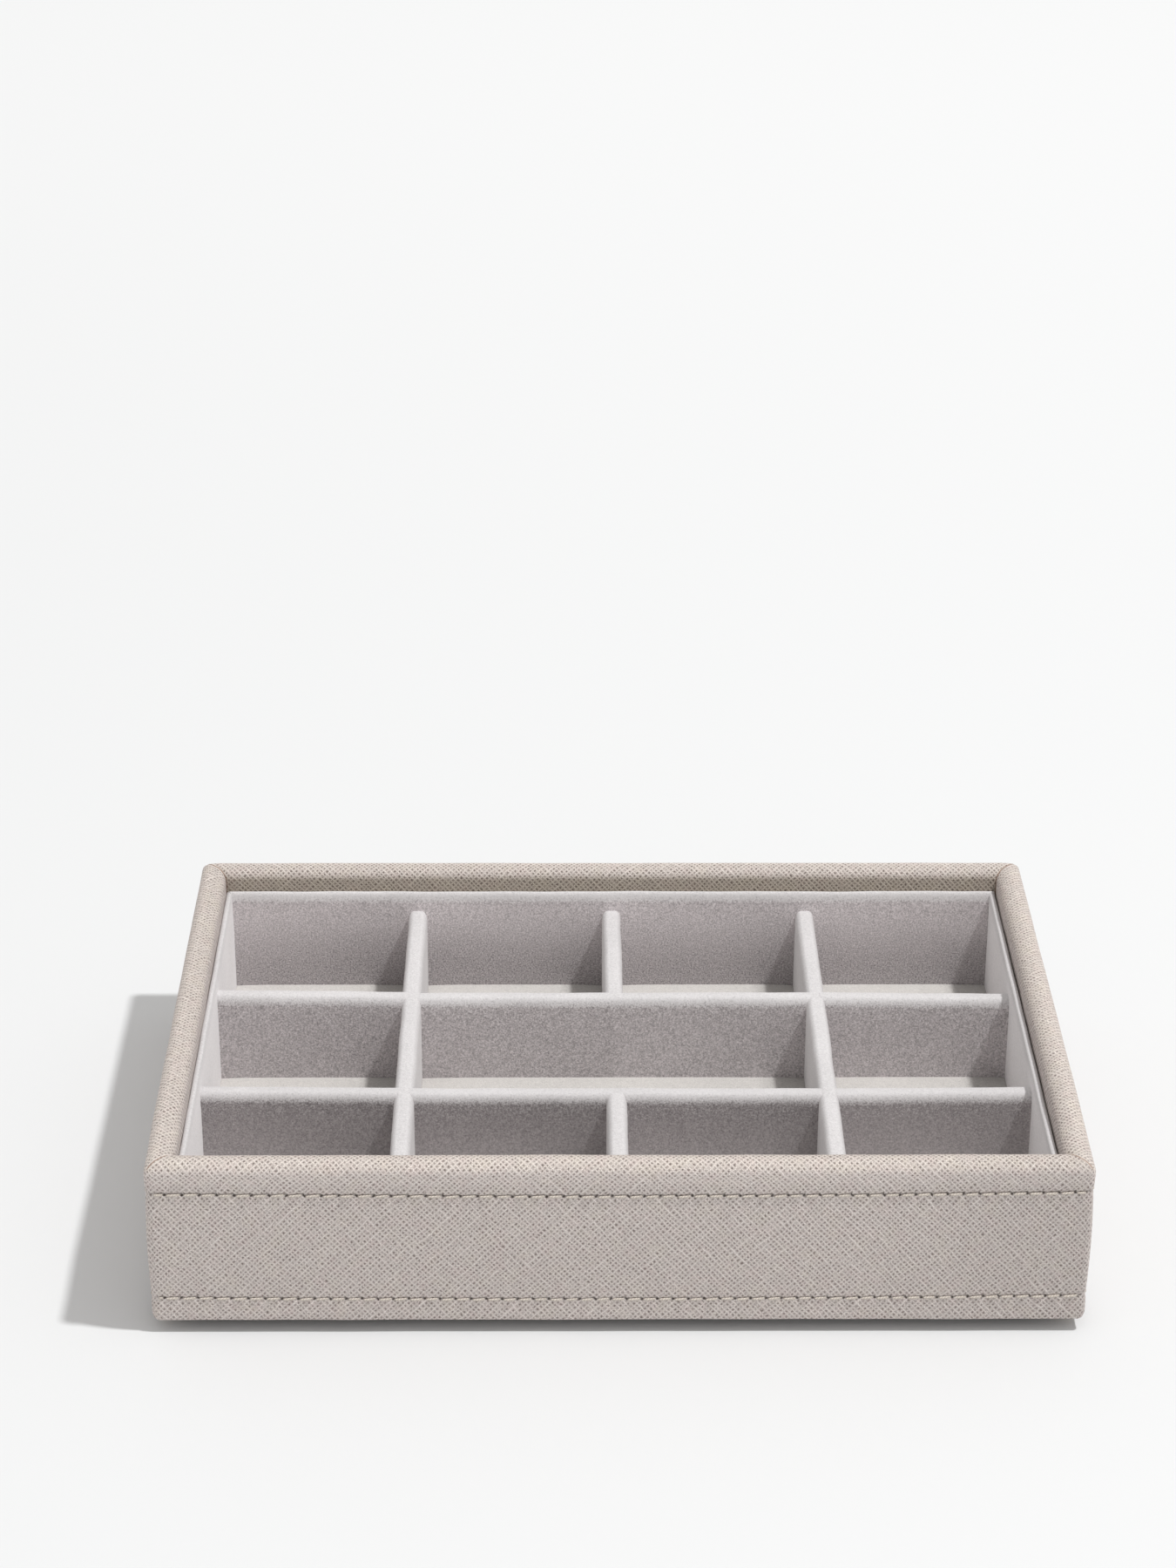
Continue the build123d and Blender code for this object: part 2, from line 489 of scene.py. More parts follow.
class Desk:
    """A material's node tree, with short calls that add nodes and join them."""

    def __init__(self, name: str) -> None:
        """Start a material with a shader and its output.

        Args:
            name: the material's name.
        """
        self.material = bpy.data.materials.new(name)
        self.material.use_nodes = True
        self.tree = self.material.node_tree
        self.tree.nodes.clear()
        output = self.tree.nodes.new("ShaderNodeOutputMaterial")
        self.shader = self.tree.nodes.new("ShaderNodeBsdfPrincipled")
        self.tree.links.new(self.shader.outputs[0], output.inputs[0])

    def join(self, value: Value, socket: bpy.types.NodeSocket) -> None:
        """Link a wire to an input, or set a plain number or colour.

        Args:
            value: what goes in.
            socket: the input.
        """
        if isinstance(value, Wire):
            self.tree.links.new(value.socket, socket)
        elif isinstance(value, tuple) and socket.type == "RGBA":
            socket.default_value = (*value, 1.0)
        else:
            socket.default_value = value

    def node(self, kind: str, inputs: dict, output: Union[int, str] = 0, **settings: object) -> Wire:
        """Add a node.

        Args:
            kind: its type.
            inputs: what goes into its inputs, by their names or numbers.
            output: which output to hand on.
            settings: the node's own settings.

        Returns:
            That output's wire.
        """
        node = self.tree.nodes.new("ShaderNode" + kind)
        for name, value in settings.items():
            setattr(node, name, value)
        for name, value in inputs.items():
            self.join(value, node.inputs[name])
        return Wire(self, node.outputs[output])

    def math(self, operation: str, *values: Value) -> Wire:
        """Work out a number from one or two others."""
        return self.node("Math", dict(enumerate(values)), operation=operation)

    def larger(self, a: Wire, b: Wire) -> Wire:
        """The larger of two numbers."""
        return self.math("MAXIMUM", a, b)

    def fade(self, value: Wire, low: float, high: float, start: float = 0.0, end: float = 1.0) -> Wire:
        """Smooth change from a start to an end as a value goes from low to high."""
        inputs = {"Value": value, "From Min": low, "From Max": high, "To Min": start, "To Max": end}
        return self.node("MapRange", inputs, "Result", interpolation_type="SMOOTHSTEP")

    def blend(self, share: Value, a: Value, b: Value, mode: str = "MIX") -> Wire:
        """Mix a share of a second colour into a first, or lay it on in another mode."""
        inputs = {"Factor": share, 6: a, 7: b}
        return self.node("Mix", inputs, 2, data_type="RGBA", blend_type=mode, clamp_factor=True)

    def tinted(self, colour: Wire, factor: Wire) -> Wire:
        """Multiply a colour by a number."""
        tone = self.node("CombineColor", dict.fromkeys(range(3), factor))
        return self.blend(1.0, colour, tone, "MULTIPLY")

    def object_place(self) -> Wire:
        """Place on the object, in metres."""
        return self.node("TexCoord", {}, "Object")

    def map_place(self) -> Wire:
        """Place on the piece's own UV map."""
        return self.node("UVMap", {}, uv_map="grain")

    def number(self, name: str) -> Wire:
        """One of the piece's own attributes."""
        return self.node("Attribute", {}, "Fac", attribute_name=name)

    def place(self, *numbers: Value) -> Wire:
        """A place from its numbers."""
        return self.node("CombineXYZ", dict(enumerate(numbers)))

    def parts(self, place: Wire) -> list[Wire]:
        """The three numbers of a place."""
        split = self.node("SeparateXYZ", {0: place}).socket.node
        return [Wire(self, output) for output in split.outputs]

    def moved(self, place: Wire, scale: Numbers = (1, 1, 1), turn: float = 0.0) -> Wire:
        """A place scaled along its three axes and turned about the third, in degrees."""
        inputs = {"Vector": place, "Scale": scale, "Rotation": (0, 0, math.radians(turn))}
        return self.node("Mapping", inputs)

    def noise(self, place: Wire, scale: float, detail: float = 2.0, roughness: float = 0.5) -> Wire:
        """Cloudy noise around 0.5, with so many cells to the unit and so much finer detail."""
        inputs = {"Vector": place, "Scale": scale, "Detail": detail, "Roughness": roughness}
        return self.node("TexNoise", inputs, "Fac")

    def bump(self, height: Wire, depth: float, strength: float, **under: Wire) -> Wire:
        """Relief from a height of 1 to so many metres, on top of another relief if Normal names one."""
        return self.node("Bump", {"Strength": strength, "Distance": depth, "Height": height, **under})

    def finish(self, colour: Wire, roughness: float, specular: float, inputs: dict) -> Material:
        """Give the shader what it needs.

        Args:
            colour: the surface's colour.
            roughness: its roughness.
            specular: the strength of its reflections.
            inputs: what goes into the shader's other inputs, by their names.

        Returns:
            The finished material.
        """
        basis = {"Base Color": colour, "Roughness": roughness, "Specular IOR Level": specular}
        for name, value in {**basis, **inputs}.items():
            self.join(value, self.shader.inputs[name])
        return self.material


@dataclass(frozen=True)
class StitchRow:
    """A row of stitches round the outside, with the slight bow that hand-guided sewing gives it.

    Corner lifts start at the front left corner and run on past the front right one; sags are in the order of
    the sides. The front's feed is one needle hole and the pitch on either side of it."""

    name: str
    height: float
    pitch: float
    corner_lifts: tuple[float, ...]
    sags: tuple[float, ...]
    front_feed: tuple[float, float, float]
    end_margin: float = 1.3
    feed_blend: float = 6.0
    shortest: float = 0.3

    def phase(self, side: Side, along: Rows) -> Rows:
        """Place along a wall's row counted in stitches.

        Args:
            side: the wall.
            along: places along it, from its left end as seen from outside.

        Returns:
            The count at each place, whole at each needle hole.
        """
        hole, left, right = self.front_feed if side is Side.FRONT else (0.0, self.pitch, self.pitch)
        rate = (1 / left + 1 / right) / 2
        change = (1 / right - 1 / left) / 2
        reach = along - hole
        return reach * rate + (np.sqrt(reach ** 2 + self.feed_blend ** 2) - self.feed_blend) * change

    def holes(self, side: Side) -> Rows:
        """Find the needle holes of a wall.

        Args:
            side: the wall.

        Returns:
            Their places along it, with the row's two ends.
        """
        limit = PLAN.length(side) / 2 - self.end_margin
        line = np.linspace(-limit, limit, 4000)
        phase = self.phase(side, line)
        whole = np.arange(math.ceil(phase[0] + self.shortest), math.floor(phase[-1] - self.shortest) + 1)
        return np.concatenate([[-limit], np.interp(whole, phase, line), [limit]])

    def lift(self, side: Side, along: Rows) -> Rows:
        """How far the row stands off its height.

        Args:
            side: the wall.
            along: places along it, from its left end as seen from outside.

        Returns:
            The lift at each place.
        """
        order = list(Side).index(side)
        start, end = self.corner_lifts[order], self.corner_lifts[order - 3]
        share = np.clip(2 * along / PLAN.length(side), -1, 1)
        return (start + end) / 2 + (end - start) / 2 * share + self.sags[order] * (1 - share ** 2)


TOP_ROW = StitchRow(
    "top", 31.4, 3.14, (-0.12, 0.10, 0.15, 0.1), (-0.66, -0.2, -0.25, -0.15), (-10.7, 3.30, 3.03),
)
BOTTOM_ROW = StitchRow(
    "bottom", 8.2, 3.0, (-0.34, -0.06, 0.1, 0.05), (-0.55, -0.15, -0.2, -0.1), (-58.6, 3.23, 2.99),
)


@dataclass(frozen=True)
class CrossGrainLeather:
    """Cross-hatched leather: two families of fine light ridges that cross on the slant, with a small dark
    pit in each mesh, the two rows of needle holes and the mitre seams. The creases over the stitches and the
    needle holes are darkened as painted shade, and the tone notes add painted highlight and painted shade.
    Its map is in centimetres."""

    ridge: Colour = (0.800, 0.742, 0.705)
    ground: Colour = (0.545, 0.487, 0.463)
    pit: Colour = (0.205, 0.165, 0.148)
    warm: Colour = (0.570, 0.472, 0.455)
    sandy: Colour = (0.590, 0.532, 0.470)
    # Multiplied in on the back wall's inside as painted shade, and partly on the rim's top as a yellower
    # tint
    ochre: Colour = (0.92, 0.90, 0.81)
    seam: Colour = (0.300, 0.170, 0.110)
    # Painted shade in the creases over the stitches and in the needle holes
    hole: Colour = (0.060, 0.045, 0.036)
    # Lines per centimetre of each family, along the map's two directions
    rising: Pair = (8.75, -8.4)
    falling: Pair = (9.0, 7.9)
    # Unevenness of the lines: how a track of cells follows them, and how far each noise shifts them
    line_track: Pair = (0.42, 0.075)
    spacing: float = 1.15
    drift: float = 0.8
    jitter: float = 0.42
    jitter_scale: float = 9.0
    # Ridges: each family's share swings along the wall, and each ridge fades in streaks
    ridge_share: float = 0.72
    swing: float = 0.10
    swing_length: float = 18.0
    streak_track: Pair = (0.95, 0.28)
    streak_fade: Fade = (0.30, 0.68, 0.34, 1.05)
    ridge_power: float = 5.0
    hair_power: float = 7.0
    hair_scale: float = 0.45
    hair_fade: Fade = (0.46, 0.66, 0.0, 0.50)
    ridge_cover: float = 1.06
    # Pits, patches of colour and fine grain
    pit_power: float = 1.7
    fleck_scale: float = 16.0
    fleck_fade: Fade = (0.30, 0.66, 0.15, 1.2)
    rim_pits: float = 0.10
    warm_scale: float = 3.2
    warm_fade: Fade = (0.42, 0.70)
    warm_share: float = 0.55
    sandy_scale: float = 2.4
    sandy_fade: Fade = (0.45, 0.72)
    sandy_share: float = 0.5
    grain_scale: float = 55.0
    grain_strength: float = 1.9
    # Needlework: the crease over a stitch and the holes at its ends, darkened as painted shade, in
    # millimetres and degrees
    crease_turn: float = 9.0
    least_turn: float = 0.4
    crease_rise: float = 0.30
    crease_fade: Fade = (0.05, 0.22, 1.0, 0.0)
    crease_along: Fade = (0.0, 0.9, 0.30, 0.55)
    hole_fade: Fade = (0.16, 0.37, 1.0, 0.0)
    hole_share: float = 0.95
    hole_rise: float = 0.3
    seam_fade: Fade = (0.05, 0.20, 1.0, 0.0)
    seam_share: float = 0.8
    # Relief: heights against a pit's depth, and that depth in metres
    ridge_height: float = 0.6
    hole_depth: float = 2.0
    relief: float = 0.00013
    bumpy: float = 0.9
    roughness: float = 0.62
    specular: float = 0.35

    def make(self) -> Material:
        """Build the material.

        Returns:
            The leather.
        """
        desk = Desk("cross_grain_leather")
        place = desk.map_place()
        u, v, _ = desk.parts(place)
        rising, falling = (u * rate[0] + v * rate[1] for rate in (self.rising, self.falling))
        first, second = self._lines(place, rising, falling, 0), self._lines(place, falling, rising, 90)
        groove_a, groove_b = self._groove(first), self._groove(second)
        swing = desk.math("SINE", u * (2 * math.pi / self.swing_length)) * self.swing + self.ridge_share
        ridges = desk.larger(
            self._ridge(groove_a, first, second) * (2 * self.ridge_share - swing),
            self._ridge(groove_b, second, first) * swing,
        )
        fleck = desk.fade(desk.noise(place, self.fleck_scale), *self.fleck_fade)
        pits = (groove_a * groove_b) ** self.pit_power * fleck
        patch = desk.fade(desk.noise(desk.moved(place, turn=10), self.warm_scale), *self.warm_fade)
        sand = desk.fade(desk.noise(desk.moved(place, turn=70), self.sandy_scale), *self.sandy_fade)
        colour = desk.blend(patch * self.warm_share, self.ground, self.warm)
        colour = desk.blend(sand * self.sandy_share, colour, self.sandy)
        colour = desk.blend(ridges * self.ridge_cover, colour, self.ridge)
        colour = desk.blend(pits, colour, self.pit)
        speckled = (desk.noise(place, self.grain_scale) - 0.5) * self.grain_strength + 1
        # The tone note adds a painted highlight on the band over the top row and painted shade inside the
        # back wall, at the front's right end and on the turned-under hem
        colour = desk.tinted(colour, speckled * desk.number("tone"))
        colour = desk.tinted(colour, 1 - pits * desk.number("rim_share") * self.rim_pits)
        # Painted shade: darker and yellower inside the back wall; the rim's top a little yellower
        colour = desk.blend(desk.number("ochre"), colour, self.ochre, "MULTIPLY")
        sunk = self._needlework(desk)
        # Painted shade in the creases over the stitches and in the needle holes
        colour = desk.blend(sunk, colour, self.hole)
        seam = desk.fade(desk.number("mitre_gap"), *self.seam_fade) * desk.number("rim_share")
        colour = desk.blend(seam * self.seam_share, colour, self.seam)
        height = ridges * self.ridge_height - pits - sunk * self.hole_depth
        normal = desk.bump(height, self.relief, self.bumpy)
        return desk.finish(colour, self.roughness, self.specular, {"Normal": normal})

    def _lines(self, place: Wire, across: Wire, along: Wire, turn: float) -> Wire:
        """Make one family's spacing uneven and let its lines drift a little, as they do in the real grain.

        Args:
            place: place on the leather.
            across: the even count of the family's lines.
            along: the even count of the other family's lines.
            turn: reads the drift elsewhere for each family.

        Returns:
            The count, whole in the middle of each groove.
        """
        desk = place.desk
        track = desk.place(across * self.line_track[0], along * self.line_track[1], turn)
        uneven = desk.noise(track, 1.0, 1.0) * self.spacing + across
        drifting = desk.noise(desk.moved(place, turn=turn + 15), 1.0, 1.0) * self.drift + uneven
        return desk.noise(desk.moved(place, turn=turn + 40), self.jitter_scale, 1.0) * self.jitter + drifting

    def _groove(self, count: Wire) -> Wire:
        """Wave between 1 in the middle of each groove and 0 on each ridge."""
        return count.desk.math("COSINE", count * (2 * math.pi)) * 0.5 + 0.5

    def _ridge(self, groove: Wire, across: Wire, along: Wire) -> Wire:
        """Thin ridges of one family, paler or fainter in long streaks, with hairlines between some of them.

        Args:
            groove: the family's wave.
            across: the count of its lines.
            along: the count of the other family's lines, which runs along each line of this one.

        Returns:
            How much of a ridge there is.
        """
        desk = groove.desk
        track = desk.place(across * self.streak_track[0], along * self.streak_track[1])
        streak = desk.fade(desk.noise(track, 1.0), *self.streak_fade)
        stretched = desk.moved(track, (1.0, 0.5, 1.0))
        faint = desk.fade(desk.noise(stretched, self.hair_scale, 1.0), *self.hair_fade)
        return desk.larger((1 - groove) ** self.ridge_power * streak, groove ** self.hair_power * faint)

    def _needlework(self, desk: Desk) -> Wire:
        """Find the crease over each stitch and the needle holes.

        Args:
            desk: the material's node tree.

        Returns:
            How far the surface is sunk there, which the colour also darkens as painted shade.
        """
        marks = []
        for row in (TOP_ROW, BOTTOM_ROW):
            offset, phase = desk.number(row.name + "_offset"), desk.number(row.name + "_phase")
            share = desk.math("FRACT", phase)
            cell = desk.math("FLOOR", phase)
            chance = desk.node("TexWhiteNoise", {"W": cell}, "Value", noise_dimensions="1D")
            rise = row.pitch * math.tan(math.radians(self.crease_turn))
            slope = (share - 0.5) * ((chance + self.least_turn) * rise)
            from_middle = abs(share - 0.5) * 2.0
            crease = desk.fade(abs(offset - slope - self.crease_rise), *self.crease_fade)
            crease = crease * desk.fade(from_middle, *self.crease_along)
            from_hole = (1 - from_middle) * (row.pitch / 2)
            down = offset - chance * self.hole_rise
            reach = desk.math("SQRT", from_hole ** 2.0 + down ** 2.0)
            hole = desk.fade(reach, *self.hole_fade) * self.hole_share
            marks.append(desk.larger(crease, hole) * desk.number(row.name + "_sewn"))
        return desk.larger(*marks)


@dataclass(frozen=True)
class VelvetPile:
    """Short velvet: grey when looked into, pale along the tips of its pile and where it bends over an edge,
    which is a painted sheen, with a fine speckle and notes of painted light and shade. Scales are in cells
    to the metre."""

    name: str = "velvet_pile"
    deep: Colour = (0.452, 0.417, 0.424)
    # The pile's paler colour, painted in as sheen
    sheen_tips: Colour = (0.680, 0.662, 0.665)
    grain_scale: float = 3000.0
    tuft_scale: float = 1200.0
    brushed_scale: tuple[float, float, float] = (60, 60, 90)
    # Painted sheen: how the pile pales with the slant of the look and with the note of its nap
    tilt_fade: Fade = (0.02, 0.40)
    nap_fade: Fade = (0.25, 1.0)
    ragged: float = 0.9
    # How strong each unevenness is, and how much of the speckle pale pile loses
    speckle: float = 2.55
    calm: float = 0.78
    tufted: float = 0.22
    cloudy: float = 0.16
    relief: float = 0.00012
    sheen: float = 0.3
    sheen_roughness: float = 0.35
    sheen_tint: Colour = (1.0, 0.985, 0.98)

    def make(self) -> Material:
        """Build the material.

        Returns:
            The velvet.
        """
        desk = Desk(self.name)
        place = desk.object_place()
        grain = desk.noise(place, self.grain_scale, 2.0, 0.7)
        tuft = desk.noise(place, self.tuft_scale, 3.0, 0.6)
        brushed = desk.noise(desk.moved(place, self.brushed_scale), 1.0)
        # Painted sheen: paler where the pile is seen at a slant and where it bends over an edge
        facing = desk.node("LayerWeight", {"Blend": 0.5}, "Facing")
        nap = desk.number("nap") + (grain - 0.5) * self.ragged
        pale = desk.larger(desk.fade(facing, *self.tilt_fade), desk.fade(nap, *self.nap_fade))
        shade = (grain - 0.5) * ((1 - pale * self.calm) * self.speckle)
        shade = shade + (tuft - 0.5) * self.tufted + (brushed - 0.5) * self.cloudy
        # Painted light and shade noted on each piece
        shade = shade + desk.number("brushing") + 1
        colour = desk.tinted(desk.blend(pale, self.deep, self.sheen_tips), shade)
        tufts = desk.bump(tuft, self.relief, 0.4)
        return desk.finish(colour, 1.0, 0.1, {
            "Sheen Weight": self.sheen,
            "Sheen Roughness": self.sheen_roughness,
            "Sheen Tint": self.sheen_tint,
            "Normal": desk.bump(grain, self.relief, 0.6, Normal=tufts),
        })


# A darker copy of the pile, used on the front cross divider
DARKER_PILE = VelvetPile(
    "velvet_pile_brushed_down", (0.282, 0.254, 0.258), (0.655, 0.637, 0.640), speckle=2.0,
)
FLOOR_PILE = VelvetPile("velvet_pile_floor", sheen_tips=(0.640, 0.618, 0.592))


@dataclass(frozen=True)
class TwistedThread:
    """Light beige sewing thread with the lines of its twist, paler on the crests as painted highlight and
    darker in the grooves as painted shade.
    """

    light: Colour = (0.900, 0.840, 0.770)
    dark: Colour = (0.560, 0.490, 0.420)
    plies: Pair = (5.0, 2.0)
    ply_share: float = 0.75
    fibre_scale: float = 5200.0
    fibre_share: float = 0.8
    relief: float = 0.00008

    def make(self) -> Material:
        """Build the material.

        Returns:
            The thread.
        """
        desk = Desk("twisted_thread")
        across, along, _ = desk.parts(desk.map_place())
        turn = across * self.plies[0] + along * self.plies[1]
        # The twist: painted highlight on its crests and painted shade in its grooves
        ply = desk.math("SINE", turn * (2 * math.pi)) * 0.5 + 0.5
        fibre = desk.noise(desk.object_place(), self.fibre_scale) - 0.5
        colour = desk.blend(ply * self.ply_share + fibre * self.fibre_share, self.dark, self.light)
        inputs = {"Sheen Weight": 0.15, "Normal": desk.bump(ply, self.relief, 0.8)}
        return desk.finish(colour, 0.75, 0.3, inputs)


@dataclass(frozen=True)
class PressedFibres:
    """A matt surface of pressed fibres, in cells to the metre, with a second unevenness over it."""

    name: str
    dark: Colour
    light: Colour
    fibres: tuple[float, float, float]
    fibre_fade: Fade
    cloud_scale: float
    cloud_detail: float
    cloudy: float
    relief: float
    bumpy: float
    roughness: float
    specular: float
    sheen: float = 0.0

    def make(self) -> Material:
        """Build the material.

        Returns:
            The felt or board.
        """
        desk = Desk(self.name)
        place = desk.object_place()
        fibre = desk.noise(desk.moved(place, self.fibres), 1.0, 4.0, 0.65)
        cloud = desk.noise(place, self.cloud_scale, self.cloud_detail) - 0.5
        colour = desk.blend(desk.fade(fibre, *self.fibre_fade) + cloud * self.cloudy, self.dark, self.light)
        inputs = {"Sheen Weight": self.sheen, "Normal": desk.bump(fibre, self.relief, self.bumpy)}
        return desk.finish(colour, self.roughness, self.specular, inputs)


# Dark felt, made this dark also to deepen the shade under the tray's edge: partly painted shade
FELT = PressedFibres(
    "felt_cloth", (0.052, 0.048, 0.045), (0.125, 0.116, 0.110), (1500, 1500, 1500), (0.3, 0.7),
    cloud_scale=120.0, cloud_detail=3.0, cloudy=0.6, relief=0.0003, bumpy=0.7,
    roughness=1.0, specular=0.1, sheen=0.2,
)
FIBREBOARD = PressedFibres(
    "fibreboard", (0.300, 0.205, 0.125), (0.520, 0.395, 0.270), (500, 500, 1600), (0.25, 0.75),
    cloud_scale=2200.0, cloud_detail=2.0, cloudy=0.5, relief=0.0002, bumpy=0.5,
    roughness=0.85, specular=0.25,
)


@dataclass(frozen=True)
class GreyCard:
    """Grey board made of recycled paper, with darker flecks."""

    ground: Colour = (0.330, 0.315, 0.290)
    fleck: Colour = (0.170, 0.160, 0.148)
    pale: Colour = (0.42, 0.40, 0.37)
    pulp_scale: float = 900.0
    fleck_scale: float = 2600.0
    fleck_share: float = 0.7
    relief: float = 0.00015

    def make(self) -> Material:
        """Build the material.

        Returns:
            The card.
        """
        desk = Desk("grey_card")
        place = desk.object_place()
        pulp = desk.noise(place, self.pulp_scale, 4.0, 0.6)
        flecks = desk.fade(desk.noise(place, self.fleck_scale), 0.60, 0.72)
        colour = desk.blend(flecks * self.fleck_share, self.ground, self.fleck)
        colour = desk.blend(desk.fade(pulp, 0.3, 0.7, 0.0, 0.25), colour, self.pale)
        return desk.finish(colour, 0.9, 0.2, {"Normal": desk.bump(pulp, self.relief, 0.4)})


@dataclass(frozen=True)
class PaleFloor:
    """Plain pale studio floor, paler far behind the tray, where the lamp's light comes in at a slant."""

    near: Colour = (0.802, 0.812, 0.818)
    far: Colour = (0.955, 0.967, 0.974)
    fleck: Colour = (0.75, 0.75, 0.75)
    fleck_scale: float = 700.0
    fleck_share: float = 0.03
    paler_between: Fade = (0.08, 1.25)

    def make(self) -> Material:
        """Build the material.

        Returns:
            The floor's finish.
        """
        desk = Desk("pale_floor")
        place = desk.object_place()
        distance = desk.parts(place)[1]
        even = desk.blend(desk.fade(distance, *self.paler_between), self.near, self.far)
        flecked = desk.blend(desk.noise(place, self.fleck_scale) * self.fleck_share, even, self.fleck)
        return desk.finish(flecked, 0.9, 0.1, {})


class SoftPiece:
    """A piece modelled here that stands for a node of the frame."""

    slot = "velvet"
    crease_angle = 60.0

    def node(self) -> str:
        """The node it stands for."""
        raise NotImplementedError

    def model(self) -> Piece:
        """Model the piece, in millimetres."""
        raise NotImplementedError

    def build(self, material: Material) -> Piece:
        """Model the piece, take it to its place and dress it.

        Args:
            material: what it is made of.

        Returns:
            The finished piece, attached to its body, with the node it stands for hidden.
        """
        piece = self.model()
        Bench.take(piece)
        bpy.ops.object.shade_smooth_by_angle(angle=math.radians(self.crease_angle))
        self.settle(piece)
        piece.data.materials.clear()
        piece.data.materials.append(material)
        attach(piece, "root")
        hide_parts(self.node())
        log.info("%s: %d faces", piece.name, len(piece.data.polygons))
        return piece

    def settle(self, piece: Piece) -> None:
        """Take the piece to its place."""
        Bench.settle(piece)


@dataclass
class WallPiece(SoftPiece):
    """A piece of one wall, modelled at the front: X runs along the wall and Y inward from its outer face."""

    side: Side

    def settle(self, piece: Piece) -> None:
        """Take the piece to its side."""
        Bench.settle(piece, self.side, PLAN.reach(self.side))

    @property
    def end(self) -> float:
        """Half the wall's outer length."""
        return PLAN.length(self.side) / 2


